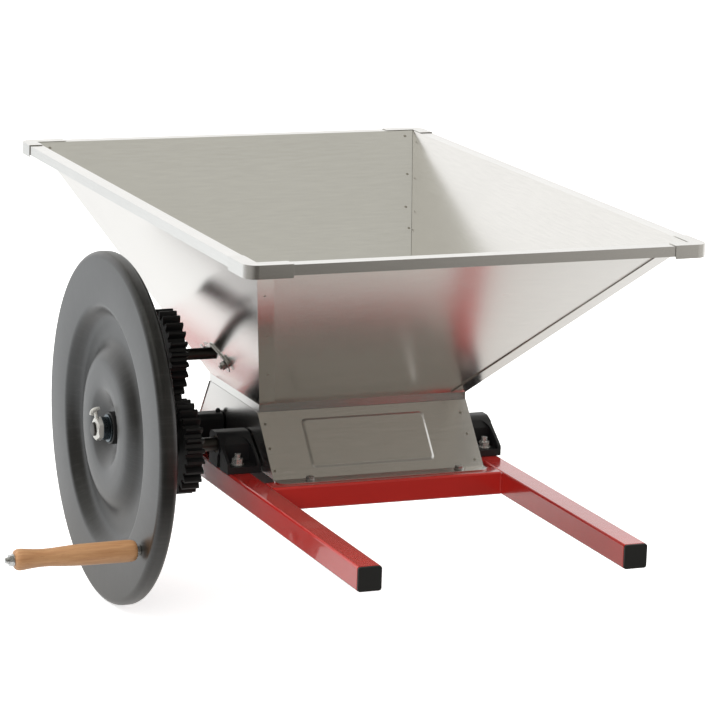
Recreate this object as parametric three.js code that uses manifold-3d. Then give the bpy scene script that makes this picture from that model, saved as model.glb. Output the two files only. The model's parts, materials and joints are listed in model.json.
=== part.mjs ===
import * as THREE from 'three';
import { mergeVertices } from 'three/addons/utils/BufferGeometryUtils.js';
import { ConvexGeometry } from 'three/addons/geometries/ConvexGeometry.js';
import Module from 'manifold-3d';

const wasm = await Module();
wasm.setup();

// Lengths in millimetres. X runs right, Y runs back, Z runs up.
// Y is measured from the middle of the throat; the whole machine is then
// shifted so the origin lies under the front cross member.

const GAP = 0.3;                      // clearance between parts that touch

// Stand: two rails and two cross members of square tube
const TUBE_SIDE = 30;
const TUBE_WALL = 2;
const TUBE_CORNER = 3;
const RAIL_LENGTH = 1060;
const RAIL_FROM_HOUSING = 26;
const CAP_PLATE = 3.4;
const CAP_PLUG = 12;

// Hopper
const SHEET = 1.2;
const THROAT_X = 140.5;
const THROAT_Y = 87.5;
const RIM_X = 277;
const RIM_Y = 422;
const LIP_WIDTH = 18;
const LIP_DROP = 12.6;
const RIM_Z = 367;
const CREASE_Z = 114;
const STRIP_BOTTOM_Z = 104;
const SEAM_FLANGE = 17;
const RIM_CORNER_R = 15;
const RIM_CAP_SHEET = 0.8;
const RIM_CAP_DROP = 16.5;
const RIM_CAP_LEGS = {
  front_left: [57, 60],
  front_right: [44.5, 58],
  rear_left: [59, 43],
  rear_right: [57, 44],
};

// Lower casing
const CASING_SHEET = 1.2;
const CASING_OVERLAP = 1.1;
const BEND_FRONT_Y = -153;
const BEND_REAR_Y = 139;
const FLANGE_FRONT = 19;
const FLANGE_REAR = 18;
const FLANGE_CORNER_R = 12;
const SIDE_PLATE_SETBACK = 0.5;
const CASING_TAB = 12;
const NECK_TOP_Z = 112;
const EMBOSS_LEFT_X = -87;
const EMBOSS_RIGHT_X = 78;
const EMBOSS_START = 14.5;
const EMBOSS_END = 81.5;
const EMBOSS_WIDTH = 4;
const EMBOSS_DEPTH = 1.4;
const FLANGE_BOLT_LEFT = 45.3;
const FLANGE_BOLT_RIGHT = 38.3;
const FLANGE_BOLT_INSET = 8;

// Drive train
const GEAR_TEETH = 26;
const GEAR_MODULE = 4.3;
const GEAR_TIP_R = 59.8;
const GEAR_BACKLASH = 0.5;
const GEAR_WIDTH = 23;
const GEAR_STANDOFF = 35;
const PRESSURE_ANGLE = 20;
const GEAR_MESH_GAP = 0.1;
const ROTOR_Y = 4.5;
const ROLLER_LIFT = 29;
const ROTOR_LIFT = 102;
const ROLLER_SHAFT_R = 8.75;
const ROTOR_SHAFT_R = 7.5;
const SHAFT_CLEARANCE = 0.3;
const SHAFT_HEAD = 2;
const SHAFT_HEAD_R = 10.4;
const ROTOR_HEAD = 7.4;
const ROTOR_HEAD_R = 11.5;
const SHAFT_STUB = 6;
const ROLLER_TIP_R = 46;
const ROLLER_ROOT_R = 40;
const ROLLER_RIBS = 14;
const ROLLER_END_GAP = 3;

// Rotor above the rollers
const ROTOR_DRUM_R = 34;
const ROTOR_END_GAP = 10.5;
const BLADE_COUNT = 6;
const BLADE_THICK = 3;
const BLADE_ROOT_R = 25;
const BLADE_TIP_R = 58;
const BLADE_TOOTH_DEPTH = 7;
const BLADE_TOOTH_PITCH = 28;

// Bearing housings on the rails
const HOUSING_SIDE_GAP = 1.8;
const HOUSING_WIDTH = 44;
const HOUSING_FOOT_REACH = 46;
const HOUSING_TOP_REACH = 2;
const HOUSING_HEEL_REACH = 22;
const HOUSING_ABOVE_SHAFT = 14.8;
const HOUSING_FOOT_HEIGHT = 13;
const HOUSING_TOP_R = 18;
const HOUSING_HEEL_R = 7.5;
const HOUSING_BORDER = 3.8;
const HOUSING_TIE_WIDTH = 14;
const HOUSING_TIE_THICK = 5;
const POCKET_FLOOR_HEIGHT = 8.7;
const POCKET_TO_SHAFT = 14.1;
const POCKET_ARCH_R = 12;
const HOUSING_BOLT_INSET = 13.5;
const BUSH_OUTER_R = 11;
const HOUSING_SCREW_INSET = 3.8;
const HOUSING_SCREW_AHEAD = 9.5;

// Rotor bearings on the sloping side walls
const FLANGE_PLATE = 2;
const FLANGE_BOSS_R = 10;
const FLANGE_BOSS_DEPTH = 24;
const ROTOR_HEAD_STANDOFF = 12.1;
const WING_STUD_Y = 37.5;
const WING_STUD_DROP = 6;
const WING_WASHER_R = 11.5;
const WING_NUT_AF = 10;
const WING_STUD_R = 3;

// Flywheel
const WHEEL_R = 227;
const WHEEL_STANDOFF = 30.5;
const WHEEL_THICK = 24;
const WHEEL_EDGE_R = 8.5;
const WHEEL_GROOVE_OUT_R = 162;
const WHEEL_GROOVE_IN_R = 88;
const WHEEL_GROOVE_DEPTH = 18;
const WHEEL_DISH_R = 52;
const WHEEL_DISH_FLOOR_R = 27;
const WHEEL_DISH_DEPTH = 17;
const WHEEL_HUB_R = 24;

// Hub stack, outermost surfaces as X
const HUB_COLLAR_R = 21;
const HUB_COLLAR_THICK = 9;
const HUB_WASHER_R = 18;
const HUB_WASHER_THICK = 2;
const HUB_SLEEVE_R = 14.8;
const HUB_SLEEVE_THICK = 8;
const HUB_NUT_R = 15.5;
const HUB_NUT_THICK = 8;
const SHAFT_STANDOUT = 3;
const PIN_R = 2.8;
const PIN_HEIGHT = 28;
const PIN_HEAD = 11;

// Crank handle
const CRANK_INSET = 32.6;
const CRANK_ANGLE = 217.67;
const CRANK_STUD_R = 4;
const CRANK_NUT_AF = 13;
const CRANK_NUT_THICK = 4.5;
const GRIP_LENGTH = 158;
const GRIP_R = 14;
const GRIP_BORE_CLEARANCE = 0.5;
const CRANK_TIP = 5;

const gearPitchR = GEAR_MODULE * GEAR_TEETH / 2;
const gearCentres = 2 * gearPitchR + GEAR_MESH_GAP;
const railTop = TUBE_SIDE;
const rollerZ = railTop + ROLLER_LIFT;
const rotorZ = rollerZ + ROTOR_LIFT;
const rearRollerY = ROTOR_Y + Math.sqrt(gearCentres ** 2 - (rotorZ - rollerZ) ** 2);
const frontRollerY = rearRollerY - gearCentres;

// Widths build outward from the throat
const sidePlateIn = THROAT_X + SIDE_PLATE_SETBACK;
const casingHalfX = sidePlateIn + CASING_SHEET + CASING_OVERLAP;
const housingInX = sidePlateIn + CASING_SHEET + HOUSING_SIDE_GAP;
const housingOutX = housingInX + HOUSING_WIDTH;
const railX = housingInX + RAIL_FROM_HOUSING;
const gearRightX = -(housingOutX + GEAR_STANDOFF);
const gearLeftX = gearRightX - GEAR_WIDTH;
const wheelFaceX = gearLeftX - WHEEL_STANDOFF - WHEEL_THICK;
const rollerHalfX = sidePlateIn - ROLLER_END_GAP;
const rotorHalfX = THROAT_X - ROTOR_END_GAP;
const wallAtRotorX = THROAT_X + (rotorZ - CREASE_Z) * (RIM_X - THROAT_X) / (RIM_Z - CREASE_Z);
const rotorHeadX = wallAtRotorX + ROTOR_HEAD_STANDOFF;
const flangeBoltX = [FLANGE_BOLT_LEFT - casingHalfX, casingHalfX - FLANGE_BOLT_RIGHT];

// Depths follow the casing's bends and the roller axes
const crossFrontY = BEND_FRONT_Y - TUBE_SIDE / 2;
const crossRearY = BEND_REAR_Y + TUBE_SIDE / 2;
const housingFrontY = frontRollerY - HOUSING_FOOT_REACH;
const housingRearY = rearRollerY + HOUSING_FOOT_REACH;
const housingTopZ = rollerZ + HOUSING_ABOVE_SHAFT;
const housingFootZ = railTop + HOUSING_FOOT_HEIGHT;
const pocketFloorZ = railTop + POCKET_FLOOR_HEIGHT;
const housingScrewX = housingInX + HOUSING_SCREW_INSET;
const housingScrewY = rearRollerY - HOUSING_SCREW_AHEAD;

// geometry helpers

function signedVolume(position, index) {
  let total = 0;
  const a = new THREE.Vector3();
  const b = new THREE.Vector3();
  const c = new THREE.Vector3();
  for (let i = 0; i < index.count; i += 3) {
    a.fromBufferAttribute(position, index.getX(i));
    b.fromBufferAttribute(position, index.getX(i + 1));
    c.fromBufferAttribute(position, index.getX(i + 2));
    total += a.dot(b.cross(c));
  }
  return total / 6;
}

function solid(geometry) {
  const bare = new THREE.BufferGeometry();
  bare.setAttribute('position', geometry.getAttribute('position').clone());
  if (geometry.index) {
    bare.setIndex(geometry.index.clone());
  }
  const merged = mergeVertices(bare, 1e-4);
  const index = merged.index;
  const inward = signedVolume(merged.getAttribute('position'), index) < 0;
  const triangles = [];
  for (let i = 0; i < index.count; i += 3) {
    const a = index.getX(i);
    const b = index.getX(i + 1);
    const c = index.getX(i + 2);
    if (a !== b && b !== c && c !== a) {
      triangles.push(a, inward ? c : b, inward ? b : c);
    }
  }
  return new wasm.Manifold(new wasm.Mesh({
    numProp: 3,
    vertProperties: new Float32Array(merged.getAttribute('position').array),
    triVerts: new Uint32Array(triangles),
  }));
}

function surface(manifold, origin) {
  const mesh = manifold.getMesh();
  const count = mesh.vertProperties.length / mesh.numProp;
  const positions = new Float32Array(count * 3);
  for (let i = 0; i < count; i += 1) {
    positions[3 * i] = mesh.vertProperties[mesh.numProp * i] - origin[0];
    positions[3 * i + 1] = mesh.vertProperties[mesh.numProp * i + 1] - origin[1];
    positions[3 * i + 2] = mesh.vertProperties[mesh.numProp * i + 2] - origin[2];
  }
  const geometry = new THREE.BufferGeometry();
  geometry.setAttribute('position', new THREE.BufferAttribute(positions, 3));
  geometry.setIndex(new THREE.BufferAttribute(new Uint32Array(mesh.triVerts), 1));
  return geometry;
}

function join(solids) {
  return solids.reduce((sum, next) => sum.add(next));
}

function cut(body, tools) {
  return tools.reduce((rest, tool) => rest.subtract(tool), body);
}

function extrude(outline, depth) {
  const shape = new THREE.Shape(outline.map(([x, y]) => new THREE.Vector2(x, y)));
  return new THREE.ExtrudeGeometry(shape, { depth, bevelEnabled: false, curveSegments: 1 });
}

function prismX(outlineYZ, x0, x1) {
  const geometry = extrude(outlineYZ, x1 - x0);
  const turn = new THREE.Matrix4().set(0, 0, 1, x0, 1, 0, 0, 0, 0, 1, 0, 0, 0, 0, 0, 1);
  return solid(geometry.applyMatrix4(turn));
}

function prismY(outlineXZ, y0, y1) {
  const geometry = extrude(outlineXZ, y1 - y0);
  const turn = new THREE.Matrix4().set(1, 0, 0, 0, 0, 0, -1, y1, 0, 1, 0, 0, 0, 0, 0, 1);
  return solid(geometry.applyMatrix4(turn));
}

function prismZ(outlineXY, z0, z1) {
  const geometry = extrude(outlineXY, z1 - z0);
  return solid(geometry.translate(0, 0, z0));
}

function box(x0, x1, y0, y1, z0, z1) {
  const geometry = new THREE.BoxGeometry(x1 - x0, y1 - y0, z1 - z0);
  return solid(geometry.translate((x0 + x1) / 2, (y0 + y1) / 2, (z0 + z1) / 2));
}

function hull(points) {
  return solid(new ConvexGeometry(points.map(([x, y, z]) => new THREE.Vector3(x, y, z))));
}

function circle(radius, segments, cx = 0, cy = 0, phase = 0) {
  const outline = [];
  for (let i = 0; i < segments; i += 1) {
    const angle = phase + 2 * Math.PI * i / segments;
    outline.push([cx + radius * Math.cos(angle), cy + radius * Math.sin(angle)]);
  }
  return outline;
}

function hexagon(acrossFlats, cx = 0, cy = 0) {
  return circle(acrossFlats / Math.sqrt(3), 6, cx, cy);
}

function rodX(radius, x0, x1, y, z, segments = 24) {
  return prismX(circle(radius, segments, y, z), x0, x1);
}

function rodZ(radius, z0, z1, x, y, segments = 20) {
  return prismZ(circle(radius, segments, x, y), z0, z1);
}

// Domed head on a flat base
function domeZ(radius, height, z0, x, y, segments = 16) {
  const points = [[x, y, z0 + height]];
  for (let i = 0; i < 4; i += 1) {
    const angle = Math.PI / 8 * i;
    for (const [px, py] of circle(radius * Math.cos(angle), segments, x, y)) {
      points.push([px, py, z0 + height * Math.sin(angle)]);
    }
  }
  return hull(points);
}

// Ring of revolution about a line parallel to X; profile lists [radius, x]
function turnedX(profile, y, z, segments) {
  const points = profile.map(([radius, x]) => new THREE.Vector2(radius, x));
  const geometry = new THREE.LatheGeometry(points, segments);
  const turn = new THREE.Matrix4().set(0, 1, 0, 0, 0, 0, 1, y, 1, 0, 0, z, 0, 0, 0, 1);
  return solid(geometry.applyMatrix4(turn));
}

function roundedOutline(corners, segments) {
  const outline = [];
  const count = corners.length;
  for (let i = 0; i < count; i += 1) {
    const [x, y, radius] = corners[i];
    if (!radius) {
      outline.push([x, y]);
      continue;
    }
    const here = new THREE.Vector2(x, y);
    const before = new THREE.Vector2(...corners[(i + count - 1) % count].slice(0, 2)).sub(here).normalize();
    const after = new THREE.Vector2(...corners[(i + 1) % count].slice(0, 2)).sub(here).normalize();
    const half = Math.acos(THREE.MathUtils.clamp(before.dot(after), -1, 1)) / 2;
    const reach = radius / Math.sin(half);
    const centre = before.clone().add(after).normalize().multiplyScalar(reach).add(here);
    const start = before.clone().multiplyScalar(radius / Math.tan(half)).add(here).sub(centre).angle();
    const end = after.clone().multiplyScalar(radius / Math.tan(half)).add(here).sub(centre).angle();
    let sweep = end - start;
    if (sweep > Math.PI) {
      sweep -= 2 * Math.PI;
    }
    if (sweep < -Math.PI) {
      sweep += 2 * Math.PI;
    }
    for (let k = 0; k <= segments; k += 1) {
      const angle = start + sweep * k / segments;
      outline.push([centre.x + radius * Math.cos(angle), centre.y + radius * Math.sin(angle)]);
    }
  }
  return outline;
}

function roundedRectangle(halfX, halfY, radius, segments, cx = 0, cy = 0) {
  return roundedOutline([
    [cx - halfX, cy - halfY, radius],
    [cx + halfX, cy - halfY, radius],
    [cx + halfX, cy + halfY, radius],
    [cx - halfX, cy + halfY, radius],
  ], segments);
}

// Planes are kept as a unit normal n and a distance d, with n.p = d
function planeAt(normal, point) {
  const n = new THREE.Vector3(...normal).normalize();
  return { n, d: n.dot(new THREE.Vector3(...point)) };
}

function offset(plane, distance) {
  return { n: plane.n, d: plane.d + distance };
}

function meet(a, b, c) {
  const bc = b.n.clone().cross(c.n);
  const ca = c.n.clone().cross(a.n);
  const ab = a.n.clone().cross(b.n);
  const scale = a.n.dot(bc);
  const point = bc.multiplyScalar(a.d).add(ca.multiplyScalar(b.d)).add(ab.multiplyScalar(c.d));
  return point.divideScalar(scale).toArray();
}

const atX = (x) => planeAt([1, 0, 0], [x, 0, 0]);
const atY = (y) => planeAt([0, 1, 0], [0, y, 0]);
const atZ = (z) => planeAt([0, 0, 1], [0, 0, z]);

// Block bounded by three pairs of planes
function between(u, v, w) {
  const points = [];
  for (const a of u) {
    for (const b of v) {
      for (const c of w) {
        points.push(meet(a, b, c));
      }
    }
  }
  return hull(points);
}

// parts

const machine = new THREE.Group();
machine.name = 'apple_scratter';
const assembly = new THREE.Group();
assembly.name = 'machine';
assembly.position.set(0, -crossFrontY, 0);
machine.add(assembly);

const COLOURS = {
  red_paint: [0xa82a26, 0.35, 0.1],
  steel: [0xb4b3ac, 0.35, 0.9],
  zinc: [0xbfc0bd, 0.35, 0.9],
  dark_steel: [0x4a4a48, 0.45, 0.8],
  black: [0x1c1c1c, 0.55, 0.0],
  wheel: [0x6a6a68, 0.55, 0.0],
  alloy: [0xa9aaa8, 0.5, 0.8],
  bronze: [0xa88950, 0.4, 0.8],
  wood: [0xc48454, 0.5, 0.0],
};

function put(name, manifold, colour, origin = [0, 0, 0]) {
  const [hex, roughness, metalness] = COLOURS[colour];
  const material = new THREE.MeshStandardMaterial({ color: hex, roughness, metalness });
  material.name = `${name}_material`;
  const mesh = new THREE.Mesh(surface(manifold, origin), material);
  mesh.name = name;
  mesh.position.set(...origin);
  assembly.add(mesh);
  return mesh;
}

// Housing bolts pass through the housing feet and the top wall of the rails
const HOUSING_BOLT_R = 4;
const HOUSING_STUD_HEIGHT = 14.5;
const HOUSING_NUT_AF = 13;
const HOUSING_NUT_THICK = 6.5;
const HOUSING_WASHER_R = 8.5;
const HOUSING_WASHER_THICK = 1.6;
const boltHoleR = HOUSING_BOLT_R + 0.5;
const housingBoltY = [housingFrontY + HOUSING_BOLT_INSET, housingRearY - HOUSING_BOLT_INSET];

function tubeOutline(inset) {
  const half = TUBE_SIDE / 2 - inset;
  const radius = Math.max(TUBE_CORNER - inset, 0.8);
  return roundedRectangle(half, half, radius, 3, 0, TUBE_SIDE / 2);
}

function rail(side) {
  const outer = prismY(tubeOutline(0), -RAIL_LENGTH / 2, RAIL_LENGTH / 2);
  const inner = prismY(tubeOutline(TUBE_WALL), -RAIL_LENGTH / 2 - 1, RAIL_LENGTH / 2 + 1);
  const tube = outer.subtract(inner).translate([side * railX, 0, 0]);
  return cut(tube, housingBoltY.map((y) => rodZ(boltHoleR, railTop - 5, railTop + 5, side * railX, y)));
}

put('rail_left', rail(-1), 'red_paint', [-railX, 0, TUBE_SIDE / 2]);
put('rail_right', rail(1), 'red_paint', [railX, 0, TUBE_SIDE / 2]);

// Flange bolts enter the top wall of the cross members
const FLANGE_BOLT_R = 3;
const FLANGE_BOLT_AF = 10;
const FLANGE_BOLT_HEAD = 4.2;
const flangeBoltFrontY = BEND_FRONT_Y - FLANGE_BOLT_INSET;

function crossMember(y, boltY = null) {
  const half = railX - TUBE_SIDE / 2 - GAP;
  const outer = prismX(roundedRectangle(TUBE_SIDE / 2, TUBE_SIDE / 2, TUBE_CORNER, 3, y, TUBE_SIDE / 2), -half, half);
  const innerHalf = TUBE_SIDE / 2 - TUBE_WALL;
  const hollow = roundedRectangle(innerHalf, innerHalf, TUBE_CORNER - TUBE_WALL, 3, y, TUBE_SIDE / 2);
  const tube = outer.subtract(prismX(hollow, -half - 1, half + 1));
  if (boltY === null) {
    return tube;
  }
  return cut(tube, flangeBoltX.map((x) => rodZ(FLANGE_BOLT_R + 0.4, railTop - 5, railTop + 5, x, boltY, 16)));
}

put('cross_member_front', crossMember(crossFrontY, flangeBoltFrontY), 'red_paint',
  [0, crossFrontY, TUBE_SIDE / 2]);
put('cross_member_rear', crossMember(crossRearY), 'red_paint',
  [0, crossRearY, TUBE_SIDE / 2]);

function endCap(side, end) {
  const plateIn = end * (RAIL_LENGTH / 2 + GAP);
  const plateOut = end * (RAIL_LENGTH / 2 + GAP + CAP_PLATE);
  const y0 = Math.min(plateIn, plateOut);
  const y1 = Math.max(plateIn, plateOut);
  const half = TUBE_SIDE / 2 - 0.2;
  const plate = prismY(roundedRectangle(half, half, TUBE_CORNER, 3, 0, TUBE_SIDE / 2), y0, y1);
  const plugHalf = TUBE_SIDE / 2 - TUBE_WALL - GAP;
  const plugEnd = end * (RAIL_LENGTH / 2 - CAP_PLUG);
  const plugStart = end * (RAIL_LENGTH / 2 + GAP + 1);
  const plug = prismY(roundedRectangle(plugHalf, plugHalf, 1.2, 2, 0, TUBE_SIDE / 2),
    Math.min(plugEnd, plugStart), Math.max(plugEnd, plugStart));
  return plate.add(plug).translate([side * railX, 0, 0]);
}

for (const [sideName, side] of [['left', -1], ['right', 1]]) {
  for (const [endName, end] of [['front', -1], ['rear', 1]]) {
    put(`end_cap_${endName}_${sideName}`, endCap(side, end), 'black',
      [side * railX, end * RAIL_LENGTH / 2, TUBE_SIDE / 2]);
  }
}

// hopper

const hopperRise = RIM_Z - CREASE_Z;

function slopeX(side) {
  const run = RIM_X - THROAT_X;
  return planeAt([side * hopperRise, 0, -run], [side * THROAT_X, 0, CREASE_Z]);
}

function slopeY(side) {
  const run = RIM_Y - THROAT_Y;
  return planeAt([0, side * hopperRise, -run], [0, side * THROAT_Y, CREASE_Z]);
}

const sideIn = { '-1': slopeX(-1), 1: slopeX(1) };
const endIn = { '-1': slopeY(-1), 1: slopeY(1) };

// Flat thickness of a sloping sheet, measured level
const levelX = SHEET / Math.abs(sideIn[1].n.x);
const levelY = SHEET / Math.abs(endIn[1].n.y);
const stripOutX = THROAT_X + levelX;
const stripOutY = THROAT_Y + levelY;
const rimOutline = roundedRectangle(RIM_X + LIP_WIDTH, RIM_Y + LIP_WIDTH, RIM_CORNER_R, 6);
const rimTrim = prismZ(rimOutline, 0, RIM_Z + 10);
const mitre = GAP * 0.75;

function endWall(end) {
  const inner = endIn[end];
  const outer = offset(inner, SHEET);
  const edges = [offset(sideIn[-1], -GAP), offset(sideIn[1], -GAP)];
  const panel = between([inner, outer], edges, [atZ(CREASE_Z), atZ(RIM_Z)]);
  const stripHalf = stripOutX - SHEET - GAP;
  const strip = box(-stripHalf, stripHalf,
    Math.min(end * stripOutY, end * (stripOutY - SHEET)), Math.max(end * stripOutY, end * (stripOutY - SHEET)),
    STRIP_BOTTOM_Z, CREASE_Z + 0.6);
  const lipPoints = [];
  const dropPoints = [];
  for (const x of [-1, 1]) {
    for (const z of [RIM_Z - SHEET, RIM_Z]) {
      lipPoints.push([x * (RIM_X - mitre), end * RIM_Y, z]);
      lipPoints.push([x * (RIM_X + LIP_WIDTH - mitre), end * (RIM_Y + LIP_WIDTH), z]);
    }
    for (const z of [RIM_Z - LIP_DROP, RIM_Z]) {
      dropPoints.push([x * (RIM_X + LIP_WIDTH - mitre), end * (RIM_Y + LIP_WIDTH), z]);
      dropPoints.push([x * (RIM_X + LIP_WIDTH - SHEET - mitre), end * (RIM_Y + LIP_WIDTH - SHEET), z]);
    }
  }
  return join([panel, strip, hull(lipPoints), hull(dropPoints)]).intersect(rimTrim);
}

function sideWall(side) {
  const inner = sideIn[side];
  const outer = offset(inner, SHEET);
  const pieces = [between([inner, outer], [endIn[-1], endIn[1]], [atZ(CREASE_Z), atZ(RIM_Z)])];
  const stripIn = side * (stripOutX - SHEET);
  const stripOut = side * stripOutX;
  const stripEnd = stripOutY + GAP + SHEET;
  pieces.push(box(Math.min(stripIn, stripOut), Math.max(stripIn, stripOut), -stripEnd, stripEnd,
    STRIP_BOTTOM_Z, CREASE_Z + 0.6));
  for (const end of [-1, 1]) {
    const flangeIn = offset(endIn[end], SHEET + GAP);
    const flangeOut = offset(endIn[end], 2 * SHEET + GAP);
    const level = [atZ(CREASE_Z), atZ(RIM_Z - SHEET - GAP)];
    pieces.push(between([inner, outer], [offset(endIn[end], -2), flangeOut], level));
    pieces.push(between([flangeIn, flangeOut], [outer, offset(inner, -SEAM_FLANGE)],
      level));
    const tabPoints = [];
    for (const y of [end * (stripOutY + GAP), end * (stripOutY + GAP + SHEET)]) {
      tabPoints.push([stripOut, y, STRIP_BOTTOM_Z + 0.5]);
      tabPoints.push([stripOut, y, CREASE_Z + 0.2]);
      tabPoints.push([side * (stripOutX - SEAM_FLANGE * 0.36), y, CREASE_Z + 0.2]);
    }
    pieces.push(hull(tabPoints));
  }
  const lipPoints = [];
  const dropPoints = [];
  for (const y of [-1, 1]) {
    for (const z of [RIM_Z - SHEET, RIM_Z]) {
      lipPoints.push([side * RIM_X, y * (RIM_Y - mitre), z]);
      lipPoints.push([side * (RIM_X + LIP_WIDTH), y * (RIM_Y + LIP_WIDTH - mitre), z]);
    }
    for (const z of [RIM_Z - LIP_DROP, RIM_Z]) {
      dropPoints.push([side * (RIM_X + LIP_WIDTH), y * (RIM_Y + LIP_WIDTH - mitre), z]);
      dropPoints.push([side * (RIM_X + LIP_WIDTH - SHEET), y * (RIM_Y + LIP_WIDTH - SHEET - mitre), z]);
    }
  }
  const wall = join([...pieces, hull(lipPoints), hull(dropPoints)]).intersect(rimTrim);
  const shaftHole = rodX(FLANGE_BOSS_R + 0.5, Math.min(side * THROAT_X, side * RIM_X), Math.max(side * THROAT_X, side * RIM_X),
    ROTOR_Y, rotorZ, 28);
  return cut(wall, [shaftHole, ...studHoles(side)]);
}

// Frame on a side wall where the rotor shaft passes through it:
// z outward from the wall, x up the slope, y along the machine
function wallFrame(side) {
  const n = sideIn[side].n;
  const outward = new THREE.Vector3(n.x, 0, n.z);
  const slopeUp = new THREE.Vector3(-n.z * side, 0, n.x * side);
  const across = outward.clone().cross(slopeUp);
  const reach = (sideIn[side].d + SHEET - n.z * rotorZ) / n.x;
  const frame = new THREE.Matrix4().makeBasis(slopeUp, across, outward);
  frame.setPosition(reach, ROTOR_Y, rotorZ);
  return frame;
}

// Studs stand level, in front of the shaft and behind it, a little lower than its axis
function studSpots(side) {
  const frame = wallFrame(side);
  const across = Math.sign(new THREE.Vector3().setFromMatrixColumn(frame, 1).y);
  return [[-WING_STUD_DROP, -across * WING_STUD_Y], [-WING_STUD_DROP, across * WING_STUD_Y]];
}

function placed(side, manifold) {
  return manifold.transform(wallFrame(side).elements);
}

function studHoles(side) {
  return studSpots(side).map(([x, y]) => placed(side, rodZ(WING_STUD_R + 0.4, -10, 10, x, y, 16)));
}

put('hopper_front_wall', endWall(-1), 'steel', [0, -RIM_Y / 2, 240]);
put('hopper_rear_wall', endWall(1), 'steel', [0, RIM_Y / 2, 240]);
put('hopper_left_wall', sideWall(-1), 'steel', [-RIM_X / 2, 0, 240]);
put('hopper_right_wall', sideWall(1), 'steel', [RIM_X / 2, 0, 240]);

// Caps folded over the four corners of the rim
function rimCap(sx, sy, legs) {
  const outX = RIM_X + LIP_WIDTH + GAP + RIM_CAP_SHEET;
  const outY = RIM_Y + LIP_WIDTH + GAP + RIM_CAP_SHEET;
  const outR = RIM_CORNER_R + GAP + RIM_CAP_SHEET;
  const endX = RIM_X + LIP_WIDTH - legs[0];
  const endY = RIM_Y + LIP_WIDTH - legs[1];
  const topZ = RIM_Z + GAP + RIM_CAP_SHEET;
  const outline = roundedOutline([
    [RIM_X, RIM_Y, 0], [endX, RIM_Y, 0], [endX, outY, 0], [outX, outY, outR], [outX, endY, 0], [RIM_X, endY, 0],
  ], 6).map(([x, y]) => [sx * x, sy * y]);
  const top = prismZ(outline, RIM_Z + GAP, topZ);
  const skirtOuter = roundedOutline([
    [endX, RIM_Y, 0], [endX, outY, 0], [outX, outY, outR], [outX, endY, 0], [RIM_X, endY, 0],
  ], 6).map(([x, y]) => [sx * x, sy * y]);
  const inX = outX - RIM_CAP_SHEET;
  const inY = outY - RIM_CAP_SHEET;
  const skirtInner = roundedOutline([
    [endX - 20, RIM_Y - 40, 0], [endX - 20, inY, 0], [inX, inY, outR - RIM_CAP_SHEET],
    [inX, endY - 20, 0], [RIM_X - 40, endY - 20, 0],
  ], 6).map(([x, y]) => [sx * x, sy * y]);
  const skirt = prismZ(skirtOuter, topZ - RIM_CAP_DROP, topZ - RIM_CAP_SHEET / 2)
    .subtract(prismZ(skirtInner, topZ - RIM_CAP_DROP - 1, topZ));
  return top.add(skirt);
}

const CORNERS = { front_left: [-1, -1], front_right: [1, -1], rear_left: [-1, 1], rear_right: [1, 1] };
for (const [corner, [sx, sy]] of Object.entries(CORNERS)) {
  put(`rim_cap_${corner}`, rimCap(sx, sy, RIM_CAP_LEGS[corner]), 'steel',
    [sx * RIM_X, sy * RIM_Y, RIM_Z]);
}

// lower casing

const casingTopZ = STRIP_BOTTOM_Z - GAP;
const casingBottomZ = railTop + GAP;

function casingSlope(end) {
  const bend = end < 0 ? BEND_FRONT_Y : BEND_REAR_Y;
  const run = Math.abs(bend) - stripOutY;
  const rise = STRIP_BOTTOM_Z - casingBottomZ;
  return planeAt([0, end * rise, run], [0, end * stripOutY, STRIP_BOTTOM_Z]);
}

const casingOut = { '-1': casingSlope(-1), 1: casingSlope(1) };
const neckOutX = stripOutX - SHEET - GAP;
const neckOutY = stripOutY - SHEET - GAP;

// Rectangular bead pressed into the front plate: a groove outside, a ridge inside
function embossBead() {
  const plane = casingOut[-1];
  const down = new THREE.Vector3(0, -plane.n.z, plane.n.y);
  const frame = new THREE.Matrix4().makeBasis(new THREE.Vector3(1, 0, 0), down.clone().negate(), plane.n);
  frame.setPosition(0, -stripOutY, STRIP_BOTTOM_Z);
  const centreX = (EMBOSS_LEFT_X + EMBOSS_RIGHT_X) / 2;
  const centreY = -(EMBOSS_START + EMBOSS_END) / 2;
  const halfX = (EMBOSS_RIGHT_X - EMBOSS_LEFT_X) / 2;
  const halfY = (EMBOSS_END - EMBOSS_START) / 2;
  const ring = (spread, z0, z1) => {
    const far = roundedRectangle(halfX + spread, halfY + spread, 6 + spread, 3, centreX, centreY);
    const nearX = halfX - EMBOSS_WIDTH - spread;
    const nearY = halfY - EMBOSS_WIDTH - spread;
    const near = roundedRectangle(nearX, nearY, 3, 3, centreX, centreY);
    return prismZ(far, z0, z1).subtract(prismZ(near, z0 - 1, z1 + 1)).transform(frame.elements);
  };
  return {
    groove: ring(0, -EMBOSS_DEPTH, 5),
    ridge: ring(0.8, -CASING_SHEET - EMBOSS_DEPTH, -CASING_SHEET / 2),
  };
}

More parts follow.
